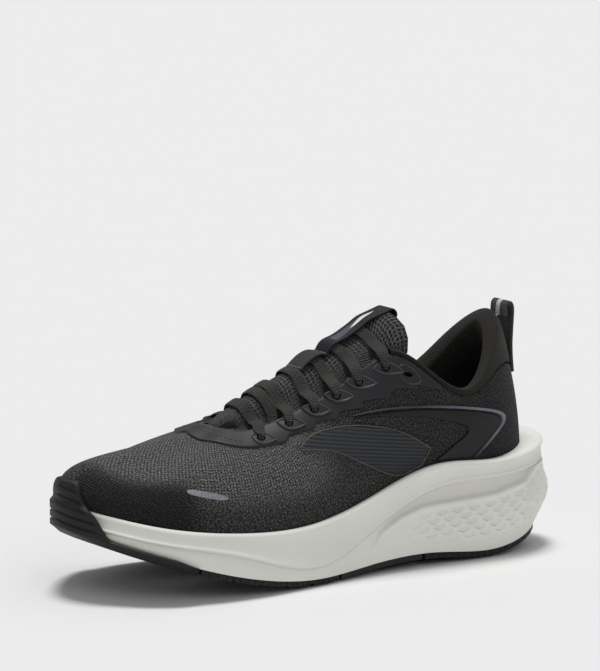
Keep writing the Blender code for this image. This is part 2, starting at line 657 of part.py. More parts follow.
# ================================================================ tongue, label and lace
def tongue_rows():
    """The tongue's outer face: eleven points across, from under the vamp to its top edge."""
    across = np.array((-1, -0.78, -0.4, 0, 0.4, 0.78, 1.0))
    rows = [mirrored_row((-60, 16, 69), (-60, 10, 72.5), (-60, 5, 74.2), (-60, 0, 74.8))]
    for k, x in ((1.6, -52), (2.4, -46.5), (3.2, -35), (4, -12), (4.6, 4), (5.2, 20), (5.75, 37)):
        crest = np.array((x, 0, float(smooth_through(CREST_X, CREST_Z, x))))
        hem, edge = (upper(k, v, -TONGUE_DEPTH) * (1, -1, 1) for v in (0.76, 0.985))
        shoulder = edge + (crest - edge) * (0.6, 0.5, 0.82)
        rows.append(mirrored_row(hem, edge, shoulder, crest))
    rows.append(mirrored_row((48.5, 18.6, 107.5), (48.5, 16.6, 117), (47.6, 9.5, 124.8), (46.5, 0, 127.6)))
    rows.append(mirrored_row((57, 18.0, 108.5), (58.5, 16.4, 118), (56.5, 9.5, 127), (54, 0, 130.8)))
    fine = np.linspace(-1, 1, 11)
    return np.array([smooth_through(across, row, fine) for row in rows])


def mirrored_row(hem, edge, shoulder, crest):
    """Seven points across, from the lateral hem over the crest to the medial hem."""
    side = np.array([hem, edge, shoulder], float)
    return np.concatenate([side * (1, -1, 1), [crest], side[::-1]])


TONGUE = tongue_rows()
TONGUE_ROW_X = TONGUE[:, 5, 0]


def tongue_face(x, t, h=0.0):
    """A point h above the tongue's face, at ridge position x and t across (-1 to 1)."""
    x, t, h = np.broadcast_arrays(np.asarray(x, float), np.asarray(t, float), np.asarray(h, float))
    def at(px, pt):
        rows = smooth_through(TONGUE_ROW_X, TONGUE.reshape(len(TONGUE), -1), px).reshape(px.shape + (11, 3))
        place = (np.clip(pt, -1, 1) + 1) * 5
        i = np.minimum(place.astype(int), 9)
        part = (place - i)[..., None]
        low = np.take_along_axis(rows, i[..., None, None], -2)[..., 0, :]
        high = np.take_along_axis(rows, i[..., None, None] + 1, -2)[..., 0, :]
        return low + part * (high - low)
    normal = np.cross(at(x + 0.5, t) - at(x - 0.5, t), at(x, t + 0.04) - at(x, t - 0.04))
    return at(x, t) + h[..., None] * normal / np.linalg.norm(normal, axis=-1, keepdims=True)


def tongue_piece(name, x_from, x_to, rows, thick, **more):
    x = np.linspace(x_from, x_to, rows)[:, None]
    t = np.linspace(-1, 1, 11)[None, :]
    return slab(name, tongue_face(x, t), tongue_face(x, t, -thick), "knit", **more)


def band(name, x_values, heights, half_width, thick, finish, **more):
    """A ribbon along the tongue's ridge; heights are above the tongue's face."""
    x = np.linspace(x_values[0], x_values[-1], 15)
    h = smooth_through(x_values, heights, x)
    middle = tongue_face(x, 0 * x, h)
    side = np.array([0, 1.0, 0])
    up = tongue_face(x, 0 * x, h + 1) - middle
    corners = [(-1, 0), (1, 0), (1, 1), (-1, 1)]
    ring = [middle + a * half_width * side + b * thick * up for a, b in corners]
    return sweep(name, np.stack(ring, 1), finish, **more)


def side_of(point):
    return point / np.linalg.norm(point)


class LaceRoute:
    """Points along the lace, each with the way its flat face looks, its width and its thickness."""

    def __init__(self):
        self.points, self.faces, self.sizes = [], [], []

    def add(self, point, face, width=LACE_WIDTH, thick=LACE_THICK):
        self.points.append(point)
        self.faces.append(face)
        self.sizes.append((width, thick))

    def on_upper(self, k, v, d, **size):
        point = upper(k, v, d)
        self.add(point, upper(k, v, d + 1) - point, **size)

    def on_tongue(self, x, t, h):
        point = tongue_face(x, t, h)
        self.add(point, tongue_face(x, t, h + 1) - point)

    def through_eyelet(self, k, v, inwards):
        """Turns from outside to inside through the hole, or back out; the flat face turns with it."""
        width, thick = LACE_AT_HOLE
        out = upper(k, v, 1) - upper(k, v)
        uphill = side_of(skin(k, v + 0.02) - skin(k, v))
        stops = (
            (upper(k, v, 3.2) + 1.6 * uphill, out, 4.2, 1.5),
            (upper(k, v, 1.6) + 0.1 * uphill, uphill, width, thick),
            (upper(k, v, -2.3), uphill, width, thick),
        )
        for point, face, wide, deep in stops if inwards else stops[::-1]:
            self.add(point, face, wide, deep)

    def over_tongue(self, side, k_start, k_end, v, d, wide=LACE_WIDTH):
        """From one throat edge to the other: straight, or over the tongue where it is higher."""
        start, end = upper(side * k_start, v, d), upper(-side * k_end, v, d)
        self.on_upper(side * k_start, v, d, width=wide)
        for share in (0.14, 0.32, 0.5, 0.68, 0.86):
            straight = start + (end - start) * share
            t = straight[1] / abs(start[1]) * 0.8
            resting = tongue_face(straight[0], t, 1.8)
            face = tongue_face(straight[0], t, 2.8) - resting
            if resting[2] < straight[2]:
                resting = straight
                face = np.array((-0.35, 0.3 * t, 1.0))
            self.add(resting, face)
        self.on_upper(-side * k_end, v, d, width=wide)

    def sections(self):
        """Flat sections with rounded edges along a smooth curve through the route."""
        points = np.array(self.points)
        gaps = np.linalg.norm(np.diff(points, axis=0), axis=1) ** 0.7
        station = np.concatenate([[0], np.cumsum(gaps)])
        fine = np.sort(np.concatenate([station, (station[1:] + station[:-1])[gaps > 3.6] / 2]))
        line = smooth_through(station, points, fine)
        face = np.stack([np.interp(fine, station, np.array(self.faces)[:, i]) for i in range(3)], 1)
        size = np.stack([np.interp(fine, station, np.array(self.sizes)[:, i]) for i in range(2)], 1) / 2
        along = np.gradient(line, axis=0)
        along /= np.linalg.norm(along, axis=1, keepdims=True)
        across = np.cross(along, face)
        across /= np.linalg.norm(across, axis=1, keepdims=True)
        face = np.cross(across, along)
        ring = ((-1, 0), (-0.8, -1), (0.8, -1), (1, 0), (0.8, 1), (-0.8, 1))
        return np.stack([line + a * size[:, :1] * across + b * size[:, 1:] * face for a, b in ring], 1)


def lace():
    """One flat lace: a bar at the bottom, one crossing, then a ladder of bars, ends tucked inside."""
    hidden = {"width": 4.4, "thick": 1.2}
    route = LaceRoute()
    k, v = EYELETS[0]
    for dk, dv in ((-0.05, -0.28), (-0.03, -0.19), (-0.01, -0.1)):
        route.on_upper(-(k + dk), v + dv, LACE_IN, **hidden)
    route.through_eyelet(-k, v, inwards=False)
    route.over_tongue(-1, k - 0.18, k - 0.18, 0.985, LACE_OUT)
    route.through_eyelet(k, v, inwards=True)
    route.on_upper(k + 0.08, 0.88, LACE_IN, **hidden)
    route.on_upper(k + 0.18, 0.95, LACE_IN - 0.2, **hidden)
    route.over_tongue(1, k + 0.22, k + 0.22, 1.0, LACE_IN - 0.5, wide=4.8)
    route.on_upper(-(EYELETS[1][0] - 0.25), 0.95, LACE_IN - 0.2, **hidden)
    route.on_upper(-(EYELETS[1][0] - 0.12), 0.9, LACE_IN, **hidden)
    side = -1
    for number, (k, v) in enumerate(EYELETS[1:], 1):
        route.through_eyelet(side * k, v, inwards=False)
        route.over_tongue(side, k, k, 0.985, LACE_OUT)
        side = -side
        route.through_eyelet(side * k, v, inwards=True)
        if number + 1 < len(EYELETS):
            k_next, v_next = EYELETS[number + 1]
            for share in (0.3, 0.7):
                route.on_upper(side * (k + (k_next - k) * share), 0.86, LACE_IN, **hidden)
    for dv in (-0.1, -0.19, -0.28):
        route.on_upper(side * k, v + dv, LACE_IN, **hidden)
    return sweep("lace", route.sections(), "lace")


def aglet(name, k, v_from, v_to):
    """The plastic tip of one lace end, lying between the knit and the tongue."""
    v = np.linspace(v_from, v_to, 6)
    line = upper(k, v, LACE_IN - 0.3)
    along = np.gradient(line, axis=0)
    along /= np.linalg.norm(along, axis=1, keepdims=True)
    out = upper(k, v, LACE_IN) - line
    out /= np.linalg.norm(out, axis=1, keepdims=True)
    across = np.cross(along, out)
    turn = np.linspace(0, 2 * math.pi, 9)[:-1]
    ring = [line + 1.4 * (math.cos(a) * across + math.sin(a) * out) for a in turn]
    return sweep(name, np.stack(ring, 1), "plastic")


def main():
    punches = eyelet_punches()
    midsole_carrier()
    midsole_cushion()
    strobel_board()
    insole()
    outsole_toe_wrap()
    shank_plate()
    grooves = tread_cutters()
    pads = [
        outsole_pad("outsole_forefoot_lateral", 2.4, 4.38, 0.16),
        outsole_pad("outsole_forefoot_medial", TURN - 4.38, TURN - 2.4, 0.16),
        outsole_pad("outsole_heel_lateral", 5.83, 8.8, 0.3, steps=16),
        outsole_pad("outsole_heel_medial", TURN - 8.8, TURN - 5.83, 0.3, steps=16),
    ]
    for pad in pads:
        for groove in grooves[:5] if "forefoot" in pad.name else grooves[5:]:
            cut(pad, groove)
    knit = upper_knit()
    shell("toe_puff", -1.3, 1.3, 0.05, 0.28, -2.6, -3.4, "plastic", rows=13, columns=5)
    shell("heel_counter", 7.1, 10.9, 0.03, 0.4, -2.2, -3.0, "plastic", rows=19, columns=4)
    padded_collar()
    film = eyestay_film()
    for side, name in ((1, "lateral"), (-1, "medial")):
        side_panel("side_fin_" + name, FIN_LOW, FIN_HIGH, side, 1.1, GAP, "navy")
        side_panel("heel_film_" + name, HEEL_LOW, HEEL_HIGH, side, 0.95, GAP, "film")
        side_panel("heel_piping_" + name, TRIM_LOW, TRIM_HIGH, side, 1.5, GAP, "trim", rows=25, columns=3)
    toe_badge()
    pull_tab()
    tongue_piece("tongue_lower", -50, TONGUE_SPLIT - 0.6, 17, TONGUE_THICK)
    tongue_piece("tongue_top", TONGUE_SPLIT + 0.6, 53, 6, TONGUE_THICK, origin=TONGUE_HINGE)
    band("lace_keeper", (-3, 2.5, 7, 11, 13.5), (0.35, 2.3, 2.9, 2.0, 0.35), 7.0, 0.9, "navy")
    band("tongue_label", (13.9, 17.6, 24, 31, 37, 41), (0.35, 2.9, 3.0, 3.0, 3.0, 3.0), 6.0, 0.9, "navy")
    band("tongue_label_top", (42.3, 46, 53), (2.8, 1.3, 0.35), 6.0, 0.9, "navy", origin=TONGUE_HINGE)
    lace()
    aglet("aglet_lower", -(EYELETS[0][0] - 0.05), EYELETS[0][1] - 0.3, EYELETS[0][1] - 0.52)
    aglet("aglet_upper", EYELETS[-1][0], EYELETS[-1][1] - 0.3, EYELETS[-1][1] - 0.52)
    patches = []
    for side, name in ((1, "lateral"), (-1, "medial")):
        for number, ((k, v), drop) in enumerate(zip(EYELETS, PATCH_DROP), 1):
            patches.append(eyelet_patch(f"eyelet_patch_{name}_{number}", side, k, v, drop))
        patches.append(None)
    for punch, patch in zip(punches, patches):
        for target in filter(None, (knit, film, patch)):
            cut(target, punch)


main()
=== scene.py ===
"""The running shoe's looks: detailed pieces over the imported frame, soft studio light and the camera.

Lengths are millimetres in the part's drawing frame until a mesh is made; DATUM is the drawing
point that is the world's origin. The surfaces repeat those of the part: a place on the upper is
(k, v), k stations from the toe (0) by the lateral side to the heel (9) and back along the medial
side, v from the feather edge (0) to the topline (1).
"""

import math

import bmesh
import bpy
import numpy as np
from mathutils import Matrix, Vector


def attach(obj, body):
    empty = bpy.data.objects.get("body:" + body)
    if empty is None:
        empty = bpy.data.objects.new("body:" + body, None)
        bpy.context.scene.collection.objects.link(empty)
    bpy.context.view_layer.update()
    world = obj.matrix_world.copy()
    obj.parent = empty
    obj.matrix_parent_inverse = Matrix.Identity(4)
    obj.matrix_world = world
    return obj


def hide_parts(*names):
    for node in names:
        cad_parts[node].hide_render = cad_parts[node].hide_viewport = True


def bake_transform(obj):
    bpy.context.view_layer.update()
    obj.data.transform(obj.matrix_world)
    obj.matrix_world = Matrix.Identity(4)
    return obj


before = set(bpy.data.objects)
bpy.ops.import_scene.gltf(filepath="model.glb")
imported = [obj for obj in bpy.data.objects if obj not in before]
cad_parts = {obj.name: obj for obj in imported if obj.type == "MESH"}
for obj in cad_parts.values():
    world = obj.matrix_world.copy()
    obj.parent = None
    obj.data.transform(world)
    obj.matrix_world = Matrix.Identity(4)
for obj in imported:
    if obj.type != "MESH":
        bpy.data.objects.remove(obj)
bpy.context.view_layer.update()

MM = 0.001
DATUM = np.array((3.134, 1.344, 0.071))  # drawing point that becomes the origin
GAP = 0.35  # air between neighbouring pieces
FOAM_GAP = 0.8  # air between the two foams

# ---- the upper's surface
HALF = 9  # stations from the toe to the heel
TURN = 2 * HALF
FEATHER_LATERAL = (
    (-137.5, 5, 42), (-126, -20, 39), (-102, -38, 33), (-66, -45, 26.5), (-22, -41, 25),
    (20, -35, 30), (60, -33, 37), (95, -33, 38), (122.5, -22.5, 39), (132.5, 0, 40),
)
FEATHER_MEDIAL = (
    (-123, 28, 39), (-101, 42, 33), (-72, 46, 27.5), (-28, 40, 27),
    (18, 31, 34), (58, 30.5, 38.5), (94, 32, 38.5), (122.5, 22.5, 39),
)
TOPLINE = (
    (-53, 0, 81.5), (-52, -7, 81), (-48, -12.5, 80.5), (-39, -17, 80.5), (-13, -19, 88.5),
    (16, -20.5, 102), (47, -24.3, 112), (80, -31.5, 90.5), (106.5, -22.5, 109), (119, 0, 124.5),
)
HEADING = (0, 12, 26, 45, 70, 84, 90, 94, 140, 180)  # way inwards at the topline, degrees from +X
PITCH = (15, 20, 18, 26, 42, 55, 64, 72, 64, 62)  # climb of the surface at the topline
REACH = (58, 52, 42, 30, 24, 20, 22, 14, 14, 16)  # how far that climb is felt
LIFT = (38, 30, 30, 33, 34, 36, 34, 22, 30, 32)  # height over which the wall leaves the sole
LEAN = (22, 20, 8, 6, 4, 3, 5, 8, 5, 3)  # its outward lean there, degrees

# ---- the sole, by station
RIM_Z = (47, 43.5, 37.5, 32.5, 31, 40, 52.5, 52, 55, 58)  # top of the foam, on the upper's wall
RIM_OUT = (2.6, 3.6, 5.5, 5.5, 5.5, 5.5, 6, 7.5, 11, 14)  # how far it stands out from the feather
PARTING_Z = (38.6, 35.8, 29.5, 21, 10, 24, 41, 43.7, 46, 49)  # seam of the two foams
PARTING_OUT = (2.9, 4.8, 7, 7.5, 7.5, 5, 5, 7, 10.5, 12.5)
BULGE_OUT = (2.7, 5, 8.2, 8.8, 8, 6, 6, 7.2, 12.5, 17.5)  # widest line of the lower foam
BOTTOM_Z = (34.5, 31, 22.3, 10.8, 4, 6, 7, 4.6, 10.5, 16)
BOTTOM_OUT = (0.6, 4, 8.2, 9, 8, 6, 5.5, 5.5, 7.5, 8.5)
# Height of the walking surface along the shoe: raised toe, rolling forefoot, low heel.
ROCKER_X = (-150, -136, -120, -102, -89, -74, -58, -38, -18, 5, 25, 45, 65, 85, 100, 115, 130, 150)
ROCKER_Z = (41, 31, 23.5, 17, 13, 8.6, 4.6, 1.2, 0, 0.6, 2.2, 2.6, 1.4, 0.1, 0, 1.6, 6.5, 18)
RUBBER = 3.2  # outsole thickness
BOARD_THICK = 1.6  # lasting board under the insole
INSOLE_THICK, INSOLE_RIM = 4.8, 4.6  # the insole's thickness and the width of its raised rim
# The ridge over the heel's scales, as heights along the shoe.
RIDGE_X = (16, 25, 38, 52, 72, 96, 118, 127, 140)
RIDGE_Z = (11, 22, 28.5, 32.4, 33.6, 34.9, 38.9, 45.6, 46.5)
SCALE_LONG, SCALE_DEEP = 10.0, 7.2  # spacing of the scales along the sole and down it

# ---- films on the knit, lacing and tongue
KNIT_THICK = 1.6
# Heights of the films over the knit's surface.
EYESTAY_HIGH, PATCH_HIGH, HEEL_FILM_HIGH, PIPING_HIGH, BADGE_HIGH = 1.1, 1.55, 0.9, 1.55, 0.75
SIDES = ((1, "lateral"), (-1, "medial"))
EYELETS = ((3.247, 0.841), (3.775, 0.886), (4.269, 0.897), (4.719, 0.897), (5.151, 0.88), (5.651, 0.876))
SPARE_EYELET = (6.0, 0.815)
PATCH_DROP = (0.056, 0.069, 0.079, 0.088, 0.087, 0.045)  # how far each eyelet's patch leans
HOLE, SPARE_HOLE = (2.3, 2.1), (2.9, 1.35)  # half length and half width of the holes
LACE_WIDTH, LACE_THICK = 6.5, 1.3
LACE_AT_HOLE = (2.7, 2.1)  # its width and thickness where it gathers in an eyelet
LACE_OUT, LACE_IN = 2.95, -3.3  # its middle, from the upper's surface, outside and inside
# The pull tab's loop, from its outer end over the top to its inner end.
TAB_X = (131.2, 130.5, 130.2, 130.5, 130.9, 131.0, 129.6, 127.3, 125.6, 125.1, 125.0)
TAB_Z = (91, 98.5, 106, 113, 119.5, 125.2, 128.4, 128.9, 127.4, 124.4, 121)
TAB_HALF, TAB_THICK = 6.7, 1.7  # half its width, without the rounded edge, and its thickness
BEYOND_STRIPE = 40.0  # cloth place of the webbing's plain faces
CREST_X = (-56, -50, -38, -27, -12, 2, 17, 32, 46, 53)  # the tongue's ridge
CREST_Z = (80, 83, 89, 94, 100.8, 106.3, 112.3, 119, 127, 131)
TONGUE_DEPTH = 5.7  # how far under the upper's surface the tongue's face lies
TONGUE_THICK = 3.4
BAND_THICK = 0.9  # label and lace keeper
FOLD_RADIUS = 2.6  # of the label's turn over the tongue's top
SIDEWAYS = np.array((0, 1.0, 0))

# ---- CAD pieces that keep their shape
RUBBER_PADS = (
    "outsole_forefoot_lateral", "outsole_forefoot_medial", "outsole_heel_lateral", "outsole_heel_medial",
)
PLASTIC_PARTS = ("shank_plate", "toe_puff", "heel_counter", "aglet_lower", "aglet_upper")

# ---- camera, light and floor
CAMERA_PLACE = np.array((-1689.7, -2603.7, 669.0))
CAMERA_AIM = np.array((6.1, 8.64, 119.92))
LENS = 326.6
ROOM = 0.36  # strength of the light from all round
FLOOR_TONE = (0.785, 0.785, 0.785)


# ======== curves and surfaces
def unit(vectors):
    """The same directions, one long."""
    return vectors / np.linalg.norm(vectors, axis=-1, keepdims=True)


def alike(*values):
    """Numbers and arrays as float arrays of one shape."""
    return np.broadcast_arrays(*(np.asarray(value, float) for value in values))


def travelled(line):
    """Distance along a line of points, from its first."""
    return np.concatenate([[0], np.cumsum(np.linalg.norm(np.diff(line, axis=0), axis=1))])


def turns(count):
    """That many directions round a circle, in radians."""
    return np.linspace(0, 2 * math.pi, count + 1)[:-1]


def rise(x, start, end):
    """A smooth step: 0 up to start, 1 from end on. Where end is the lower one, it falls with x."""
    share = np.clip((x - start) / (end - start), 0, 1)
    return share * share * (3 - 2 * share)


def periodic(values, k):
    """A smooth closed curve through values at whole k, as a periodic cubic spline."""
    values = np.asarray(values, float)
    n = len(values)
    around = np.roll(np.eye(n), 1, 0) + np.roll(np.eye(n), -1, 0)
    bend = np.linalg.solve(4 * np.eye(n) + around, 6 * (around @ values - 2 * values))
    k = np.mod(np.asarray(k, float), n)
    i = np.minimum(k.astype(int), n - 1)
    t = k - i
    j = (i + 1) % n
    if values.ndim > 1:
        t = t[..., None]
    straight = (1 - t) * values[i] + t * values[j]
    return straight + ((1 - t) ** 3 - (1 - t)) * bend[i] / 6 + (t**3 - t) * bend[j] / 6


def both_sides(half):
    """A list for stations 0 to 9, continued back along the medial side."""
    return np.array(list(half) + list(half[-2:0:-1]), float)


def by_station(half, k):
    """A list for stations 0 to 9, read at k on either side."""
    return periodic(both_sides(half), k)


FEATHER = np.array(FEATHER_LATERAL + FEATHER_MEDIAL[::-1], float)


def plan_normal(k):
    """Outward unit normal, in plan, of the feather edge."""
    along = periodic(FEATHER, np.asarray(k) + 0.02) - periodic(FEATHER, np.asarray(k) - 0.02)
    return unit(np.stack([along[..., 1], -along[..., 0], 0 * along[..., 0]], -1))


def control_loops():
    """The four loops that shape the upper: feather, wall, shoulder and topline."""
    top = both_sides(TOPLINE)
    top[HALF + 1:, 1] *= -1
    heading = np.radians(both_sides(HEADING))
    heading[HALF + 1:] *= -1
    pitch = np.radians(both_sides(PITCH))
    lean = np.radians(both_sides(LEAN))[:, None]
    up = np.array([0, 0, 1.0])
    inward = np.stack([np.cos(pitch) * np.cos(heading), np.cos(pitch) * np.sin(heading), np.sin(pitch)], 1)
    out = plan_normal(np.arange(TURN))
    wall = FEATHER + both_sides(LIFT)[:, None] * (np.cos(lean) * up + np.sin(lean) * out)
    shoulder = top - both_sides(REACH)[:, None] * inward
    return FEATHER, wall, shoulder, top


LOOPS = control_loops()


def skin(k, v):
    """A point of the upper's outer surface."""
    k, v = alike(k, v)
    v = v[..., None]
    a, b, c, d = (periodic(loop, k) for loop in LOOPS)
    return (1 - v) ** 3 * a + 3 * v * (1 - v) ** 2 * b + 3 * v * v * (1 - v) * c + v**3 * d


def along_upper(k, v):
    """A short step round the upper, towards higher stations."""
    return skin(k + 0.03, v) - skin(k - 0.03, v)


def upper(k, v, d=0.0):
    """A point d outside the upper's surface, or inside it where d is negative."""
    k, v, d = alike(k, v, d)
    climb = skin(k, v + 0.01) - skin(k, v - 0.01)
    return skin(k, v) + d[..., None] * unit(np.cross(along_upper(k, v), climb))


def height_on_wall(k, z):
    """The v at which the wall reaches height z."""
    low, high = np.zeros_like(k), np.full_like(k, 0.6)
    for _ in range(30):
        middle = (low + high) / 2
        below = skin(k, middle)[..., 2] < z
        low, high = np.where(below, middle, low), np.where(below, high, middle)
    return low


def spine(k):
    """The middle line of the sole: halfway between the two sides' feather edges."""
    return (periodic(FEATHER, k) + periodic(FEATHER, TURN - np.asarray(k))) / 2


def sole(k, r, z, out=0.0):
    """A point of the sole: r from the spine (0) to the loop that lies out beyond the feather (1)."""
    k, r, z = alike(k, r, z)
    out = np.asarray(out)[..., None]
    edge = periodic(FEATHER, k) + out * plan_normal(k)
    middle = (edge + periodic(FEATHER, TURN - k) + out * plan_normal(TURN - k)) / 2
    point = middle + r[..., None] * (edge - middle)
    point[..., 2] = z
    return point


def rocker(x):
    """Height of the walking surface at x, smoothed between its listed heights."""
    x = np.asarray(x, float)
    spread = np.linspace(-7, 7, 9)
    return np.mean([np.interp(x + s, ROCKER_X, ROCKER_Z) for s in spread], axis=0)


def smooth_through(knots, values, x):
    """A natural cubic spline through (knots, values), read at x."""
    knots, values = np.asarray(knots, float), np.asarray(values, float)
    n, h = len(knots), np.diff(knots)
    a, b = np.eye(n), np.zeros((n,) + values.shape[1:])
    for i in range(1, n - 1):
        a[i, i - 1:i + 2] = h[i - 1], 2 * (h[i - 1] + h[i]), h[i]
        b[i] = 6 * ((values[i + 1] - values[i]) / h[i] - (values[i] - values[i - 1]) / h[i - 1])
    bend = np.linalg.solve(a, b)
    x = np.clip(np.asarray(x, float), knots[0], knots[-1])
    i = np.clip(np.searchsorted(knots, x) - 1, 0, n - 2)
    t, step = x - knots[i], h[i]
    if values.ndim > 1:
        t, step = t[..., None], step[..., None]
    s = step - t
    start, end = (values[j] / step - bend[j] * step / 6 for j in (i, i + 1))
    return (bend[i] * s**3 + bend[i + 1] * t**3) / (6 * step) + start * s + end * t


def fullness(k):
    """0 at the sole's two tips, 1 where it is wide: it fades what happens away from the edge."""
    width = np.abs(periodic(FEATHER[:, 1], k) - periodic(FEATHER[:, 1], TURN - k))
    return np.clip(width / 30, 0, 1)


def footbed(k, r, drop=0.0):
    """The cavity's floor: level with the feather edge, a little hollow along the spine."""
    edge = periodic(FEATHER[:, 2], k)
    level = (edge + periodic(FEATHER[:, 2], TURN - k)) / 2
    return level + (edge - level) * r**2 - fullness(k) * (1 - r**2) - drop


def seam_point(k, r, lift):
    """The foams' seam inside the sole, flattening towards the middle."""
    edge = by_station(PARTING_Z, k)
    bed = footbed(k, np.zeros_like(k), BOARD_THICK + GAP)
    low = rocker(spine(k)[:, 0]) + RUBBER + GAP
    middle = np.clip(edge, low + 0.35 * (bed - low), low + 0.55 * (bed - low))
    height = edge + (middle - edge) * (1 - r**5) * fullness(k)
    return sole(k, r, height + lift, by_station(PARTING_OUT, k))


def bottom_height(k, r):
    """Underside of the foam: the rocker line inside, the listed edge heights at the sides."""
    out = by_station(BOTTOM_OUT, k)
    under, lowest = (rocker(sole(k, place, 0, out)[..., 0]) + RUBBER + GAP for place in (r, 1))
    edge = np.maximum(by_station(BOTTOM_Z, k), lowest)
    return under + (edge - under) * r**6


def inner_clearance(k):
    """How far the insole's edge stays inside the feather edge."""
    heel = np.clip((np.abs(np.mod(k, TURN) - HALF) - 3.2) / 1.2, 0, 1)
    return 5.4 - 1.0 * heel


MESH_TOP_K = (0, 5.7, 6.3, 6.7, 7.0, 7.5, 8.0, 8.5, 9.0)
MESH_TOP_V = (0.985, 0.985, 0.95, 0.93, 0.92, 0.88, 0.78, 0.62, 0.56)


def mesh_top(k):
    """Where the knit ends: at the topline round the throat, below the padded collar at the heel."""
    side = np.abs(np.mod(np.asarray(k) + HALF, TURN) - HALF)
    return np.minimum(smooth_through(MESH_TOP_K, MESH_TOP_V, side), MESH_TOP_V[0])


EYESTAY_K = (0, 1.2, 2.0, 2.8, 3.3, 3.7, 4.18, 4.7, 5.1, 5.6, 6.0, 6.3, 6.6)
EYESTAY_V = (0.90, 0.874, 0.844, 0.795, 0.756, 0.755, 0.768, 0.735, 0.70, 0.675, 0.72, 0.775, 0.86)


def side_view_place(x, z, side):
    """(k, v) of the surface point seen at (x, z) from that side, found by Newton's method."""
    x, z = np.asarray(x, float), np.asarray(z, float)
    k = np.interp(x, (-102, -66, -22, 20, 60, 95, 124), (2, 3, 4, 5, 6, 7, 8))
    v = np.full_like(x, 0.45)
    for _ in range(12):
        here = skin(side * k, v)
        dk = (skin(side * (k + 0.01), v) - here) / 0.01
        dv = (skin(side * k, v + 0.001) - here) / 0.001
        det = dk[..., 0] * dv[..., 2] - dk[..., 2] * dv[..., 0]
        ex, ez = x - here[..., 0], z - here[..., 2]
        k = np.clip(k + (ex * dv[..., 2] - ez * dv[..., 0]) / det, 0.5, 8.6)
        v = np.clip(v + (dk[..., 0] * ez - dk[..., 2] * ex) / det, 0.02, 1.0)
    return side * k, v


# Lower and upper edges of the side films, as (x, z) seen from the side, from front to back.
FIN_LOW = ((-21.3, 69.2), (-2.6, 66.9), (10.9, 61.2), (23.5, 55.1), (35, 50.2), (44, 50.2), (53.5, 53.4))
FIN_HIGH = ((-21.3, 70.2), (-14.5, 74.6), (-3, 77.4), (11, 78), (25, 76.4), (42, 71.6), (59, 61.8))
HEEL_LOW = (
    (14, 81.4), (31.6, 80.8), (50, 79.2), (69.8, 75.0),
    (81.5, 69.7), (76, 64.2), (67.5, 58.6), (61, 54.6),
)
HEEL_HIGH = (
    (14, 82.3), (31, 83.1), (52, 82.7), (81, 79.3),
    (104.2, 73.4), (100.6, 66.8), (92.2, 60.6), (84.6, 54.8),
)
TRIM_LOW = (
    (12.4, 82.2), (30, 83.6), (52, 83.2), (81, 79.8),
    (104.9, 73.8), (101.2, 66.5), (92.8, 60.2), (85.3, 54.7),
)
TRIM_HIGH = (
    (12.4, 83.2), (30, 85.1), (52, 84.8), (81, 81.5),
    (107.3, 74.9), (103, 65.8), (94.3, 59.4), (86.9, 54.4),
)


# ======== tongue, label and lace
def tongue_rows():
    """The tongue's outer face: eleven points across, from under the vamp to its top edge."""
    across = np.array((-1, -0.78, -0.4, 0, 0.4, 0.78, 1.0))
    rows = [mirrored_row((-60, 16, 69), (-60, 10, 72.5), (-60, 5, 74.2), (-60, 0, 74.8))]
    for k, x in ((1.6, -52), (2.4, -46.5), (3.2, -35), (4, -12), (4.6, 4), (5.2, 20), (5.75, 37)):
        crest = np.array((x, 0, float(smooth_through(CREST_X, CREST_Z, x))))
        hem, edge = (upper(k, v, -TONGUE_DEPTH) * (1, -1, 1) for v in (0.76, 0.985))
        shoulder = edge + (crest - edge) * (0.6, 0.5, 0.82)
        rows.append(mirrored_row(hem, edge, shoulder, crest))
    rows.append(mirrored_row((48.5, 18.6, 107.5), (48.5, 16.6, 117), (47.6, 9.5, 124.8), (46.5, 0, 127.6)))
    rows.append(mirrored_row((57, 18.0, 108.5), (58.5, 16.4, 118), (56.5, 9.5, 127), (54, 0, 130.8)))
    fine = np.linspace(-1, 1, 11)
    return np.array([smooth_through(across, row, fine) for row in rows])


def mirrored_row(hem, edge, shoulder, crest):
    """Seven points across, from the lateral hem over the crest to the medial hem."""
    side = np.array([hem, edge, shoulder], float)
    return np.concatenate([side * (1, -1, 1), [crest], side[::-1]])


TONGUE = tongue_rows()
TONGUE_ROW_X = TONGUE[:, 5, 0]


def tongue_face(x, t, h=0.0):
    """A point h above the tongue's face, at ridge position x and t across (-1 to 1)."""
    x, t, h = alike(x, t, h)

    def at(px, pt):
        rows = smooth_through(TONGUE_ROW_X, TONGUE.reshape(len(TONGUE), -1), px).reshape(px.shape + (11, 3))
        place = (np.clip(pt, -1, 1) + 1) * 5
        i = np.minimum(place.astype(int), 9)
        part = (place - i)[..., None]
        low = np.take_along_axis(rows, i[..., None, None], -2)[..., 0, :]
        high = np.take_along_axis(rows, i[..., None, None] + 1, -2)[..., 0, :]
        return low + part * (high - low)

    normal = np.cross(at(x + 0.5, t) - at(x - 0.5, t), at(x, t + 0.04) - at(x, t - 0.04))
    return at(x, t) + h[..., None] * unit(normal)


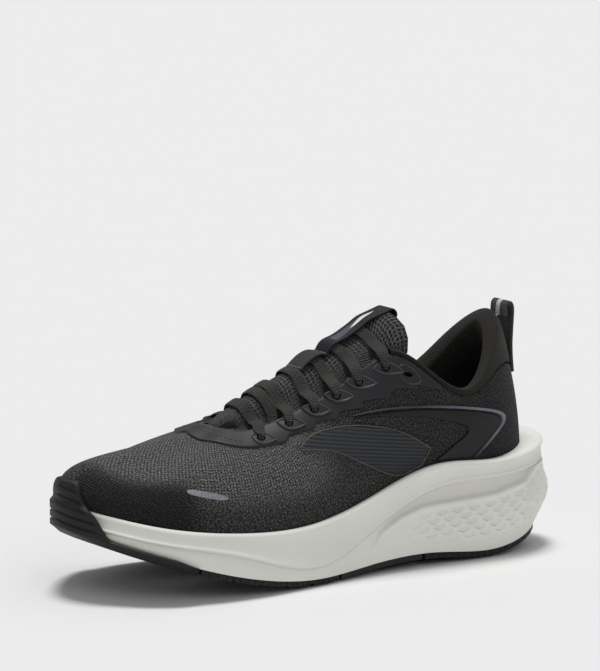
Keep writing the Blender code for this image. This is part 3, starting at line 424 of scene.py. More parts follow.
class LaceRoute:
    """Points along the lace, each with the way its flat face looks, its width and its thickness."""

    def __init__(self):
        self.points, self.faces, self.sizes = [], [], []

    def add(self, point, face, width=LACE_WIDTH, thick=LACE_THICK):
        self.points.append(point)
        self.faces.append(face)
        self.sizes.append((width, thick))

    def on_upper(self, k, v, d, **size):
        """A point d outside the upper, lying flat along it."""
        point = upper(k, v, d)
        self.add(point, upper(k, v, d + 1) - point, **size)

    def through_eyelet(self, k, v, inwards):
        """Turns from outside to inside through the hole, or back out; the flat face turns with it."""
        width, thick = LACE_AT_HOLE
        out = upper(k, v, 1) - upper(k, v)
        uphill = unit(skin(k, v + 0.02) - skin(k, v))
        stops = (
            (upper(k, v, 2.55) + 1.9 * uphill, out, 4.2, 1.6),
            (upper(k, v, 1.6) + 0.1 * uphill, uphill, width, thick),
            (upper(k, v, -2.3), uphill, width, thick),
        )
        for point, face, wide, deep in stops if inwards else stops[::-1]:
            self.add(point, face, wide, deep)

    def over_tongue(self, side, k, v, d, width=LACE_WIDTH):
        """From one throat edge to the other: straight, or over the tongue where that is higher."""
        start, end = upper(side * k, v, d), upper(-side * k, v, d)
        self.on_upper(side * k, v, d, width=width)
        for share in (0.14, 0.32, 0.5, 0.68, 0.86):
            straight = start + (end - start) * share
            t = straight[1] / abs(start[1]) * 0.8
            resting = tongue_face(straight[0], t, 1.8)
            face = tongue_face(straight[0], t, 2.8) - resting
            if resting[2] < straight[2]:
                resting = straight
                face = np.array((-0.35, 0.3 * t, 1.0))
            self.add(resting, face)
        self.on_upper(-side * k, v, d, width=width)

    def sections(self):
        """A dense flat tube along the route, with its place across the lace and the way travelled."""
        points, faces, sizes = map(np.array, (self.points, self.faces, self.sizes))
        gaps = np.linalg.norm(np.diff(points, axis=0), axis=1) ** 0.7
        station = np.concatenate([[0], np.cumsum(gaps)])
        number = np.arange(len(station))
        fine = np.interp(np.arange(0, number[-1] + 1e-6, 0.1), number, station)
        line = smooth_through(station, points, fine)
        face = np.stack([np.interp(fine, station, column) for column in faces.T], 1)
        size = np.stack([np.interp(fine, station, column) for column in sizes.T], 1) / 2
        along = unit(np.gradient(line, axis=0))
        across = unit(np.cross(along, face))
        face = np.cross(across, along)
        turn = turns(20)
        a = np.sign(np.cos(turn)) * np.abs(np.cos(turn)) ** 0.55
        b = np.sign(np.sin(turn)) * np.abs(np.sin(turn)) ** 0.75
        wide, deep = size[:, :1] * a, size[:, 1:] * b
        grid = line[:, None] + wide[..., None] * across[:, None] + deep[..., None] * face[:, None]
        return grid, wide, travelled(line)


# ======== materials
def sign(operation, swapped=False):
    """A method for an arithmetic sign, which makes a Math node."""
    return lambda a, b: a.paint.math(operation, *((b, a) if swapped else (a, b)))


class Value:
    """An output of a shader node, which arithmetic turns into further nodes."""

    def __init__(self, paint, socket):
        self.paint, self.socket = paint, socket

    __add__ = sign("ADD")
    __sub__ = sign("SUBTRACT")
    __rsub__ = sign("SUBTRACT", swapped=True)
    __mul__ = sign("MULTIPLY")
    __truediv__ = sign("DIVIDE")
    __pow__ = sign("POWER")

    def __abs__(self):
        return self.paint.math("ABSOLUTE", self)


def opaque(colour):
    """A value as it is, or a plain colour with full alpha."""
    return colour if isinstance(colour, Value) else (*colour, 1)


def times(tint, share):
    """A tint made so many times as bright."""
    return tuple(share * c for c in tint)


class Paint:
    """A procedural material. Lengths are millimetres, in the piece's cloth map or on the object."""

    def __init__(self, name, roughness=0.8, **sockets):
        self.material = bpy.data.materials.new(name)
        self.material.use_nodes = True
        self.tree = self.material.node_tree
        self.shader = self.tree.nodes["Principled BSDF"]
        for socket, value in {"Roughness": roughness, **sockets}.items():
            self.put(value, socket.replace("_", " "))

    def put(self, value, name, node=None):
        """Links a value to a node's input, or sets a plain number or colour on it."""
        place = (node or self.shader).inputs[name]
        if isinstance(value, Value):
            self.tree.links.new(value.socket, place)
        else:
            place.default_value = value

    def node(self, kind, output=0, settings=(), **inputs):
        """The output of a new node. i0, i1 and so on are its inputs by number."""
        made = self.tree.nodes.new("ShaderNode" + kind)
        for name, value in dict(settings).items():
            setattr(made, name, value)
        for name, value in inputs.items():
            self.put(value, int(name[1:]) if name[1:].isdigit() else name, made)
        return Value(self, made.outputs[output])

    def math(self, operation, a, b=0.0):
        return self.node("Math", settings={"operation": operation}, i0=a, i1=b)

    def cloth(self):
        return self.node("UVMap", settings={"uv_map": "cloth"})

    def object_mm(self):
        """Object position, in millimetres."""
        place = self.node("TexCoord", output=3)
        return self.node("VectorMath", settings={"operation": "SCALE"}, i0=place, i3=1000.0)

    def split(self, vector):
        return [self.node("SeparateXYZ", output, i0=vector) for output in (0, 1)]

    def stretched(self, vector, x, y, turn=0.0):
        return self.node("Mapping", i0=vector, i2=(0, 0, turn), i3=(x, y, 1.0))

    def noise(self, vector, scale, detail=3.0, roughness=0.55):
        return self.node("TexNoise", Vector=vector, Scale=scale, Detail=detail, Roughness=roughness)

    def sine(self, value, period):
        return self.math("SINE", value * (2 * math.pi / period))

    def wave(self, value, period):
        """A sine of value, from 0 to 1."""
        return self.sine(value, period) * 0.5 + 0.5

    def larger(self, a, b):
        return self.math("MAXIMUM", a, b)

    def between(self, value, low, high, to_low=0.0, to_high=1.0):
        """A smooth step from to_low, where value is low, to to_high, where it is high."""
        return self.node(
            "MapRange", i0=value, i1=low, i2=high, i3=to_low, i4=to_high,
            settings={"interpolation_type": "SMOOTHSTEP"},
        )

    def mix(self, share, a, b):
        return self.node("Mix", 2, {"data_type": "RGBA"}, i0=share, i6=opaque(a), i7=opaque(b))

    def attribute(self, name):
        return self.node("Attribute", output=2, settings={"attribute_name": name})

    def colour(self, value):
        self.put(value, "Base Color")

    def rough(self, value):
        self.put(value, "Roughness")

    def bump(self, height, distance, strength):
        """Relief of so many millimetres. Returns the finished material."""
        self.put(self.node("Bump", Height=height, Distance=distance * MM, Strength=strength), "Normal")
        return self.material


def knit_paint():
    """Heathered engineered knit: pierced rows on the vamp, fine ribs at the toe, dashes at the heel."""
    p = Paint("knit_heathered", 0.9, Sheen_Weight=0.06, Sheen_Roughness=0.5, Specular_IOR_Level=0.25)
    at = p.cloth()
    u, v = p.split(at)
    fleck = p.noise(p.stretched(at, 0.8, 1.4), 1.1, 3.0, 0.75)
    broad = p.noise(at, 0.035, 2.0)
    stitch = p.wave(u, 1.45) * p.wave(v, 1.1)
    wobble = p.noise(at, 0.35, 3.0) * 1.8
    holes = p.sine(u + wobble, 2.4) * p.sine(v + wobble, 2.2)
    vamp_zone, toe_zone = p.attribute("vamp"), p.attribute("toe")
    vamp = p.between(holes, 0.05, 0.7) * vamp_zone
    toe = (1.0 - p.wave(u * 0.98 + v * 0.2 + wobble * 0.2, 1.35)) * toe_zone
    broken = p.noise(p.stretched(at, 0.3, 0.9, turn=0.5), 1.0, 2.0)
    plain = 1.0 - vamp_zone - toe_zone
    dashes = (p.attribute("heel") * 0.5 + plain * 0.5) * p.between(broken, 0.4, 0.55)
    heel = (1.0 - p.wave(u * 0.8 - v * 0.6, 1.9)) * dashes
    yarn = p.mix(p.between(fleck, 0.47, 0.61), (0.003, 0.0032, 0.003), (0.11, 0.114, 0.107))
    yarn = p.mix(p.between(broad, 0.35, 0.7) * 0.12, yarn, (0.04, 0.041, 0.04))
    # painted sheen: paler yarn on the vamp's upward face, where the overhead light falls
    yarn = p.mix(vamp_zone * p.between(fleck, 0.43, 0.62, 0.1, 0.75), yarn, (0.26, 0.265, 0.256))
    # painted shade: yarn darkened at the toe and towards the heel; towards the heel partly the knit's own
    # darker tone
    shaded = p.larger(toe_zone, p.attribute("shade"))
    yarn = p.mix(shaded * 0.62, yarn, (0.003, 0.003, 0.003))
    dark = p.larger(p.larger(vamp, toe * 0.8), heel * 0.7)
    p.colour(p.mix(dark * 0.9, yarn, (0.004, 0.004, 0.004)))
    return p.bump(fleck * 0.6 + stitch * 0.5 - dark * 1.1, 0.5, 0.9)


def film_paint(name="film", tint=(0.0115, 0.0115, 0.014), roughness=0.46, rim=False):
    """Thin moulded film: satin, finely grained, with a painted highlight line on a raised rim."""
    p = Paint(name, roughness, Specular_IOR_Level=0.35)
    at = p.object_mm()
    grain = p.noise(at, 1.6, 3.0, 0.6)
    patch = p.noise(at, 0.06, 2.0)
    tone = p.mix(p.between(patch, 0.3, 0.7) * 0.5, tint, times(tint, 1.5))
    if rim:
        # painted highlight along the raised rim
        tone = p.mix(p.attribute("rim") * 0.85, tone, times(tint, 5.5))
    p.colour(tone)
    p.rough(p.between(grain, 0.2, 0.8, roughness - 0.06, roughness + 0.12))
    return p.bump(grain, 0.12, 0.7)


def ribbed_paint():
    """Navy printed panel: lengthwise ribs, each one finely hatched."""
    p = Paint("panel_ribbed", 0.5)
    u, v = p.split(p.cloth())
    rib = p.wave(v, 1.9)
    crest = p.between(rib, 0.35, 0.8)
    hatch = p.wave(u + v * 0.35, 0.95) * crest
    tone = p.mix(crest, (0.002, 0.0028, 0.0042), (0.01, 0.0145, 0.0215))
    p.colour(p.mix(hatch * 0.65, tone, (0.04, 0.052, 0.07)))
    return p.bump(rib + hatch * 0.4, 0.45, 0.9)


def foam_paint():
    """Moulded off-white foam with a faint pebbled skin, and painted shade in its low places."""
    p = Paint("foam_bone", 0.62, Subsurface_Weight=0.06, Subsurface_Scale=0.004)
    p.shader.inputs["Subsurface Radius"].default_value = (1.0, 0.9, 0.75)
    at = p.object_mm()
    pebble = p.noise(at, 1.1, 3.0, 0.6)
    broad = p.noise(at, 0.03, 3.0)
    tone = p.mix(p.between(broad, 0.3, 0.7), (0.765, 0.762, 0.71), (0.8, 0.797, 0.75))
    # painted shade: darker where the hollow value marks seams, recesses and the scales' lips
    p.colour(p.mix(p.attribute("hollow") * 0.8, tone, (0.36, 0.35, 0.3)))
    p.rough(p.between(pebble, 0.2, 0.8, 0.55, 0.7))
    return p.bump(pebble, 0.1, 0.5)


def rubber_paint(name="rubber_black", tint=(0.0085, 0.0088, 0.0095)):
    """Dark rubber or plastic, finely gritty, with paler specks in patches."""
    p = Paint(name, 0.58, Specular_IOR_Level=0.3)
    at = p.object_mm()
    grit = p.noise(at, 1.3, 4.0, 0.65)
    broad = p.noise(at, 0.05, 2.0)
    speck = p.between(grit, 0.5, 0.7) * p.between(broad, 0.3, 0.7, 0.3, 1.0)
    p.colour(p.mix(speck, tint, times(tint, 4)))
    p.rough(p.between(grit, 0.25, 0.75, 0.46, 0.68))
    return p.bump(grit, 0.2, 0.7)


def tread_paint():
    """Outsole rubber: fine slanted sipes between the cut grooves."""
    p = Paint("rubber_tread", 0.6, Specular_IOR_Level=0.3)
    at = p.object_mm()
    x, y = p.split(at)
    sipe = p.wave(x + p.math("PINGPONG", y, 9.0), 4.2)
    grit = p.noise(at, 1.3, 3.0)
    groove = p.between(sipe, 0.1, 0.3)
    # painted shade: the sipes' cuts are darker
    p.colour(p.mix(groove, (0.003, 0.003, 0.0035), (0.009, 0.0092, 0.0105)))
    p.rough(p.between(grit, 0.3, 0.7, 0.5, 0.7))
    return p.bump(groove + grit * 0.15, 0.8, 0.8)


def lining_paint(name="lining_woven", tint=(0.017, 0.0162, 0.0142)):
    """Soft woven lining: a fine twill with a warm, slightly fuzzy face."""
    p = Paint(name, 0.92, Sheen_Weight=0.15, Sheen_Roughness=0.45, Specular_IOR_Level=0.25)
    p.shader.inputs["Sheen Tint"].default_value = (0.5, 0.47, 0.42, 1)
    at = p.cloth()
    u, v = p.split(at)
    twill = p.wave(u + v, 1.05)
    weft = p.wave(u - v, 1.5)
    fuzz = p.noise(at, 1.4, 3.0, 0.7)
    broad = p.noise(at, 0.07, 2.0)
    light = p.between(fuzz, 0.3, 0.75) * (twill * 0.5 + 0.5)
    tone = p.mix(light, times(tint, 0.25), times(tint, 2.6))
    p.colour(p.mix(broad * 0.3, tone, tint))
    return p.bump(twill + weft * 0.5 + fuzz, 0.22, 0.8)


def lace_paint():
    """Flat braided lace: cross ribs, a dense edge on each side and grey-green marl."""
    p = Paint("lace_braid", 0.85, Sheen_Weight=0.1, Sheen_Roughness=0.4, Specular_IOR_Level=0.3)
    at = p.cloth()
    u, v = p.split(at)
    rib = p.wave(v + abs(u) * 0.2, 1.05)
    strand = p.wave(u, 0.9)
    marl = p.noise(at, 1.5, 3.0, 0.7)
    light = p.between(marl, 0.3, 0.7) * (rib * 0.75 + 0.25)
    p.colour(p.mix(light, (0.006, 0.0063, 0.0057), (0.1, 0.105, 0.092)))
    return p.bump(rib + strand * 0.35, 0.42, 0.9)


def open_mesh_paint():
    """Spacer mesh of the tongue: big holes near the top, a fine rib along its sides."""
    p = Paint("tongue_mesh", 0.85, Sheen_Weight=0.08, Sheen_Roughness=0.4, Specular_IOR_Level=0.3)
    at = p.cloth()
    u, v = p.split(at)
    holed = p.attribute("open")
    hole = p.between(abs(p.sine(u, 4.7) * p.sine(v, 4.1)), 0.3, 0.62) * holed
    rib = p.wave(v, 1.25) * (1.0 - holed)
    yarn = p.noise(at, 1.1, 3.0, 0.6)
    tone = p.mix(p.between(yarn, 0.3, 0.7), (0.012, 0.0125, 0.012), (0.13, 0.134, 0.127))
    tone = p.mix(rib * 0.75, tone, (0.006, 0.006, 0.006))
    p.colour(p.mix(hole, tone, (0.0035, 0.0035, 0.0035)))
    return p.bump(yarn * 0.3 - rib * 0.5 - hole * 1.6, 0.8, 0.9)


def label_paint():
    """Smooth woven label: navy ground, a grey wedge and a pale blade, both plain shapes."""
    p = Paint("label_woven", 0.6, Specular_IOR_Level=0.3)
    u, v = p.split(p.cloth())
    weave = p.wave(u, 0.7)
    wedge = p.between(u - (v * 0.16 - 5.6), -0.1, 0.1) * p.between(3.1 - v * 0.02 - u, -0.1, 0.1)
    wedge = wedge * p.between(v, 9, 9.4) * p.between(v, 33, 32.6)
    along = v - 30.0
    half = (1.0 - (along / 9.0) ** 2.0) * 1.5
    blade = p.between(half - abs(u - (along * 0.1 + 0.4)), -0.08, 0.08)
    tone = p.mix(weave * 0.4, (0.003, 0.0045, 0.007), (0.009, 0.0125, 0.018))
    tone = p.mix(wedge, tone, (0.085, 0.078, 0.1))
    p.colour(p.mix(blade, tone, (0.72, 0.73, 0.74)))
    return p.bump(weave * 0.3 + blade * 0.8, 0.2, 0.7)


def keeper_paint():
    """The lace keeper: cross ribs of navy thread."""
    p = Paint("keeper_ribbed", 0.6)
    u, v = p.split(p.cloth())
    rib = p.wave(u, 2.0)
    thread = p.wave(v, 0.6)
    p.colour(p.mix(rib * (thread * 0.4 + 0.6), (0.0025, 0.004, 0.006), (0.018, 0.025, 0.034)))
    return p.bump(rib + thread * 0.25, 0.5, 0.9)


def webbing_paint():
    """Heel webbing: a pale stripe between two black ones, in ribs along its length."""
    p = Paint("webbing_striped", 0.75, Sheen_Weight=0.2)
    u, v = p.split(p.cloth())
    rib = p.wave(u, 1.25)
    pick = p.wave(v, 0.9)
    stripe = p.between(abs(u), 1.9, 1.6)
    black = p.mix(rib, (0.0025, 0.0025, 0.0025), (0.013, 0.013, 0.0135))
    white = p.mix(rib, (0.5, 0.51, 0.52), (0.75, 0.76, 0.77))
    p.colour(p.mix(stripe, black, white))
    return p.bump(rib + pick * 0.4, 0.45, 0.9)


def piping_paint():
    """Raised welt printed from steel blue at its lower end to pale grey round the heel corner."""
    p = Paint("piping_satin", 0.35, Coat_Weight=0.2)
    at = p.object_mm()
    grain = p.noise(at, 0.8, 3.0)
    tone = p.mix(p.attribute("pale"), (0.022, 0.03, 0.042), (0.17, 0.19, 0.225))
    p.colour(p.mix(grain * 0.35, tone, (0.02, 0.026, 0.035)))
    p.rough(p.between(grain, 0.3, 0.7, 0.28, 0.42))
    return p.bump(grain, 0.08, 0.5)


def badge_paint():
    """Grey reflective film, full of tiny glass beads."""
    p = Paint("badge_reflective", 0.38, Metallic=0.35)
    at = p.object_mm()
    bead = p.noise(at, 2.2, 2.0)
    p.colour(p.mix(p.between(bead, 0.35, 0.65), (0.16, 0.165, 0.18), (0.34, 0.35, 0.375)))
    p.rough(p.between(bead, 0.3, 0.7, 0.3, 0.5))
    return p.bump(bead, 0.1, 0.6)


def edge_paint():
    """The tan edge line of the ribbed panel."""
    p = Paint("edge_tan", 0.5)
    grain = p.noise(p.object_mm(), 1.0, 2.0)
    p.colour(p.mix(p.between(grain, 0.3, 0.7), (0.06, 0.052, 0.045), (0.12, 0.105, 0.09)))
    return p.bump(grain, 0.05, 0.4)


def thread_paint(name, dark, light):
    """Twisted sewing thread."""
    p = Paint(name, 0.7, Sheen_Weight=0.2)
    twist = p.noise(p.object_mm(), 2.5, 2.0)
    p.colour(p.mix(twist, dark, light))
    return p.bump(twist, 0.1, 0.6)


def board_paint():
    """Pale fibre board."""
    p = Paint("board_fibre", 0.9)
    at = p.object_mm()
    fibre = p.noise(p.stretched(at, 0.4, 1.6), 1.0, 4.0, 0.7)
    p.colour(p.mix(fibre, (0.28, 0.26, 0.21), (0.5, 0.47, 0.4)))
    return p.bump(fibre, 0.2, 0.6)


# ======== making pieces
def placed(name, data):
    """An object of that mesh, lamp or camera, in the scene."""
    obj = bpy.data.objects.new(name, data)
    bpy.context.scene.collection.objects.link(obj)
    return obj


def corners(mesh):
    """The vertex number at each corner of each face."""
    numbers = np.empty(len(mesh.loops), np.int32)
    mesh.loops.foreach_get("vertex_index", numbers)
    return numbers


def piece(
    name, points, faces, paint, body="shoe", replaced=(), cloth=None, values=None, slot=None, crease=50,
):
    """A mesh from drawing millimetres, with its cloth map and point values, riding on a body."""
    mesh = bpy.data.meshes.new(name)
    world = (np.asarray(points, float).reshape(-1, 3) - DATUM) * MM
    mesh.from_pydata(world.tolist(), [], faces)
    if cloth is not None:
        layer = mesh.uv_layers.new(name="cloth")
        layer.data.foreach_set("uv", np.asarray(cloth, np.float32).reshape(-1, 2)[corners(mesh)].ravel())
    for key, value in (values or {}).items():
        layer = mesh.attributes.new(key, "FLOAT", "POINT")
        layer.data.foreach_set("value", np.asarray(value, np.float32).ravel())
    work = bmesh.new()
    work.from_mesh(mesh)
    bmesh.ops.remove_doubles(work, verts=work.verts, dist=2e-6)
    bmesh.ops.recalc_face_normals(work, faces=work.faces)
    if work.calc_volume(signed=True) < 0:
        bmesh.ops.reverse_faces(work, faces=work.faces)
    work.to_mesh(mesh)
    work.free()
    mesh.shade_smooth()
    mesh.set_sharp_from_angle(angle=math.radians(crease))
    mesh.materials.append(paint)
    obj = placed(name, mesh)
    if body:
        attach(obj, body)
    if replaced:
        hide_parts(*replaced)
    return obj


def grid_faces(rows, columns, wrap_rows=False, wrap_columns=False, start=0):
    """Four-sided faces over a grid of points that are numbered row by row."""
    faces = []
    for i in range(rows if wrap_rows else rows - 1):
        for j in range(columns if wrap_columns else columns - 1):
            i2, j2 = (i + 1) % rows, (j + 1) % columns
            faces.append(tuple(start + a * columns + b for a, b in ((i, j), (i2, j), (i2, j2), (i, j2))))
    return faces


def tube_faces(rings, sides, start=0):
    """The faces of a tube made of rings of points, with a cap at each end."""
    last = start + (rings - 1) * sides
    caps = [tuple(range(start, start + sides)), tuple(reversed(range(last, last + sides)))]
    return grid_faces(rings, sides, wrap_columns=True, start=start) + caps


def doubled(grid):
    """The values of a slab's outer grid, again for its inner one."""
    return np.concatenate([grid.reshape(-1, grid.shape[-1])] * 2)


def slab(name, outer, inner, paint, folded=False, cloth=None, values=None, **more):
    """A closed plate between two grids of points. A folded one needs no wall along its first edge."""
    rows, columns = outer.shape[:2]
    n = rows * columns
    faces = grid_faces(rows, columns) + [face[::-1] for face in grid_faces(rows, columns, start=n)]
    for j in (columns - 1,) if folded else (0, columns - 1):
        for a in range(j, n - columns, columns):
            faces.append((a, a + columns, a + columns + n, a + n))
    for i in (0, n - columns):
        for a in range(i, i + columns - 1):
            faces.append((a, a + n, a + 1 + n, a + 1))
    points = np.concatenate([outer.reshape(-1, 3), inner.reshape(-1, 3)])
    cloth = None if cloth is None else doubled(cloth)
    values = {key: doubled(value[..., None])[:, 0] for key, value in (values or {}).items()}
    return piece(name, points, faces, paint, cloth=cloth, values=values, **more)


def lengths(grid, axis):
    """Distance travelled over a grid of points along one axis, from its first line."""
    steps = np.linalg.norm(np.diff(grid, axis=axis), axis=-1)
    first = np.zeros_like(np.take(steps, [0], axis))
    return np.concatenate([first, np.cumsum(steps, axis)], axis)


def cloth_of(grid):
    """A cloth map by distance: across the first axis at its middle line, and along the second."""
    middle = grid[:, grid.shape[1] // 2:grid.shape[1] // 2 + 1]
    u = np.broadcast_to(lengths(middle, 0), grid.shape[:2])
    return np.stack([u, lengths(grid, 1)], -1)


def from_rim(grid):
    """Distance of a grid's points from its nearest edge, in millimetres."""
    a, b = lengths(grid, 0), lengths(grid, 1)
    return np.minimum(np.minimum(a, a[-1:] - a), np.minimum(b, b[:, -1:] - b))


def quarter_round(share):
    """Height of a quarter circle, from 0 to 1, at a share of its width."""
    return np.sqrt(np.clip(1 - (1 - np.clip(share, 0, 1)) ** 2, 0, 1))


def rounded(grid, radius):
    """0 to 1 from a grid's rim inwards, as a rounded edge of that radius in millimetres."""
    return quarter_round(from_rim(grid) / radius)


def crowded(count):
    """Places from -1 to 1 that lie closer together towards both ends."""
    return np.sin(np.linspace(-1, 1, count) * math.pi / 2)


def laid(name, k, v, height, paint, radius=0.7, sink=0.3, **more):
    """A film on the upper with rounded edges. height is a number or a grid, in millimetres."""
    base = upper(k, v)
    top = upper(k, v, -sink + (np.asarray(height) + sink) * rounded(base, radius))
    return slab(name, top, upper(k, v, -sink - 0.3), paint, cloth=cloth_of(base), **more)


def tube(name, line, radius, paint, up, sides=8, **more):
    """A closed round bead along a loop of points. up is any way out from each of them."""
    along = unit(np.roll(line, -1, 0) - np.roll(line, 1, 0))
    across = unit(np.cross(along, up))
    up = np.cross(across, along)
    turn = turns(sides)
    grid = np.stack([line + radius * (math.cos(a) * across + math.sin(a) * up) for a in turn], 1)
    return piece(name, grid, grid_faces(len(line), sides, True, True), paint, **more)


def stitches(name, line, up, paint, length=2.2, gap=1.1, radius=0.32, **more):
    """Short thread bumps along a line of points."""
    travel = travelled(line)
    share = np.linspace(0, 1, 7)
    fat = radius * np.sqrt(np.clip(1 - (2 * share - 1) ** 4, 0.04, 1))[:, None]
    points, faces = [], []
    at = gap / 2
    while at + length < travel[-1]:
        run, lift = (
            np.stack([np.interp(at + share * length, travel, column) for column in table.T], 1)
            for table in (line, up)
        )
        across = unit(np.cross(run[-1] - run[0], lift))
        turn = turns(6)
        rings = [run + fat * (math.cos(a) * across + math.sin(a) * lift) for a in turn]
        faces += tube_faces(7, 6, len(points))
        points.extend(np.stack(rings, 1).reshape(-1, 3))
        at += length + gap
    return piece(name, np.array(points), faces, paint, **more)


# ======== the upper
def knit_pattern():
    """The knit's flat pattern: the upper slit at the heel and unfolded with the least stretch.

    Returns the stations, the heights and the flat place, in millimetres, of each point of a grid.
    """
    rows, columns = 97, 17
    k, v = np.linspace(-HALF, HALF, rows), np.linspace(0, 1, columns)
    grid = upper(k[:, None], v[None, :])
    mesh = bpy.data.meshes.new("pattern")
    mesh.from_pydata(grid.reshape(-1, 3).tolist(), [], grid_faces(rows, columns))
    obj = placed("pattern", mesh)
    mesh.uv_layers.new(name="flat")
    bpy.context.view_layer.objects.active = obj
    bpy.ops.object.mode_set(mode="EDIT")
    bpy.ops.mesh.select_all(action="SELECT")
    bpy.ops.uv.unwrap(method="MINIMUM_STRETCH", margin=0.0, correct_aspect=False)
    bpy.ops.object.mode_set(mode="OBJECT")
    found = np.empty(2 * len(mesh.loops), np.float32)
    mesh.uv_layers["flat"].data.foreach_get("uv", found)
    flat = np.zeros((rows * columns, 2))
    flat[corners(mesh)] = found.reshape(-1, 2)
    flat = flat.reshape(rows, columns, 2)
    bpy.data.objects.remove(obj)
    real, unfolded = (np.linalg.norm(np.diff(x, axis=0), axis=-1).sum() for x in (grid, flat))
    flat *= real / unfolded
    toe = rows // 2
    run = flat[toe, -1] - flat[toe, 0]
    turn = -math.atan2(run[1], run[0])
    turning = np.array(((math.cos(turn), math.sin(turn)), (-math.sin(turn), math.cos(turn))))
    return k, v, (flat - flat[toe, 0]) @ turning


def read_pattern(pattern, k, v):
    """The flat place of (k, v), between the pattern's four nearest points."""
    stations, heights, flat = pattern
    i = np.clip((k - stations[0]) / (stations[1] - stations[0]), 0, len(stations) - 1.001)
    j = np.clip(v / (heights[1] - heights[0]), 0, len(heights) - 1.001)
    a, b = i.astype(int), j.astype(int)
    s, t = (i - a)[..., None], (j - b)[..., None]
    low = flat[a, b] * (1 - s) + flat[a + 1, b] * s
    high = flat[a, b + 1] * (1 - s) + flat[a + 1, b + 1] * s
    return low * (1 - t) + high * t


def punch_tool():
    """All the eyelet holes as one cutter."""
    turn = turns(24)[:, None]
    holes = [(k, v, *HOLE) for k, v in EYELETS] + [(*SPARE_EYELET, *SPARE_HOLE)]
    points, faces = [], []
    for side in (1, -1):
        for k, v, wide, deep in holes:
            middle = upper(side * k, v)
            out = upper(side * k, v, 1.0) - middle
            along = unit(along_upper(side * k, v))
            circle = wide * np.cos(turn) * along + deep * np.sin(turn) * np.cross(out, along)
            faces += tube_faces(2, len(turn), len(points))
            for depth in (-3, 5):
                points.extend(middle + circle + out * depth)
    tool = piece("punch", np.array(points), faces, PAINT["film"], body=None)
    tool.hide_render = True
    tool.display_type = "WIRE"
    return tool


def punched(obj, tool):
    """Cuts the eyelets through a piece and applies the cut."""
    cut = obj.modifiers.new("eyelets", "BOOLEAN")
    cut.operation = "DIFFERENCE"
    cut.object = tool
    cut.solver = "EXACT"
    bpy.context.view_layer.objects.active = obj
    with bpy.context.temp_override(object=obj, active_object=obj):
        bpy.ops.object.modifier_apply(modifier=cut.name)
    return obj


def upper_knit(pattern, tool):
    """The bootie, as one closed loop across: its face, a rounded topline and its inside."""
    k = np.linspace(-HALF, HALF, 301)[:, None]
    share = np.concatenate([np.linspace(0, 1, 53), np.linspace(1, 0, 17)])
    depth = np.concatenate([np.zeros(52), (-0.35, 0.35 - KNIT_THICK), np.full(16, -KNIT_THICK)])
    v = mesh_top(k) * share
    grid = upper(k, v, depth)
    x, side = grid[..., 0], np.abs(k)
    # vamp and toe mark knit zones; the vamp also gets painted sheen, the toe painted shade
    vamp = rise(x, 6, -20) * rise(x, -131, -119) * rise(v, 0.16, 0.36)
    toe = rise(x, -80, -98) * rise(v, 0.5, 0.3) * rise(side, 0.1, 0.4)
    heel = rise(x, 84, 94)
    # shade: painted shade towards the heel and the back, partly the knit's own darker tone
    shade = np.maximum(0.9 * heel, 0.6 * rise(x, 5, 60))
    knit = piece(
        "upper_knit_cloth", grid, grid_faces(*v.shape, wrap_columns=True), PAINT["knit"],
        replaced=("upper_knit",), slot="knit", cloth=read_pattern(pattern, *alike(k, v)),
        values={"vamp": vamp * (1 - toe), "toe": toe, "heel": heel, "shade": shade}, crease=80,
    )
    return punched(knit, tool)


def eyestay(tool):
    """The film: its lower edge drops in a lobe under each eyelet."""
    k = np.linspace(-6.62, 6.62, 421)[:, None]
    side = np.abs(k)
    stops = [place for place, _ in EYELETS] + [SPARE_EYELET[0] + 0.1]
    share = np.mod(np.interp(side, stops, np.arange(len(stops))) + 0.03, 1)
    inside = rise(side, 3.3, 3.6) * rise(side, 6.12, 6.02)
    lobe = 0.06 * share**1.3 * rise(share, 1, 0.84) * inside
    low = smooth_through(EYESTAY_K, EYESTAY_V, side) - lobe + 0.022 * inside
    high = np.minimum(0.985, mesh_top(k) - 0.02)
    v = low + (high - low) * (0.5 - 0.5 * np.cos(np.linspace(0, math.pi, 19)))
    film = laid("eyestay_film_skin", k, v, EYESTAY_HIGH, PAINT["film"], radius=0.8,
                replaced=("eyestay_film",), slot="film")
    seam = np.linspace(-2.9, 2.9, 160)
    place = smooth_through(EYESTAY_K, EYESTAY_V, np.abs(seam)) + 0.05
    line = upper(seam, place, EYESTAY_HIGH)
    stitches("bridge_seam", line, upper(seam, place, EYESTAY_HIGH + 1) - line, PAINT["thread_dark"],
             length=1.7, gap=1.0, radius=0.3, slot="lace")
    return punched(film, tool)


def spare_rims():
    """A raised welt round each spare eyelet."""
    turn = turns(48)
    k, v = SPARE_EYELET
    for side, name in SIDES:
        around = side * (k + 0.03 + 0.17 * np.cos(turn)), v + 0.075 * np.sin(turn) * (1 - 0.25 * np.cos(turn))
        line = upper(*around, 1.05)
        # painted highlight over the whole welt, through its rim value
        tube(f"spare_rim_{name}", line, 0.42, PAINT["patch"], upper(*around, 2.05) - line,
             values={"rim": np.full((48, 8), 0.6)}, slot="film")


def eyelet_patch(side, name, number, k, v, drop, tool):
    """A boat-shaped patch with a raised rim."""
    across, along = crowded(61)[:, None], crowded(25)
    half = along * 0.053 * np.maximum(1 - np.abs(across) ** 1.9, 0.03)
    where = side * (k + 0.03 + 0.26 * across + 0.5 * half), v - 0.008 - drop * across + half
    # rim: the raised rim's height, also where its painted highlight goes
    rim = rise(from_rim(upper(*where)), 1.15, 0.7)
    node = f"eyelet_patch_{name}_{number}"
    patch = laid(node + "_skin", *where, PATCH_HIGH + 0.5 * rim, PAINT["patch"], radius=0.4, sink=-0.9,
                 values={"rim": rim}, replaced=(node,), slot="film")
    return punched(patch, tool)


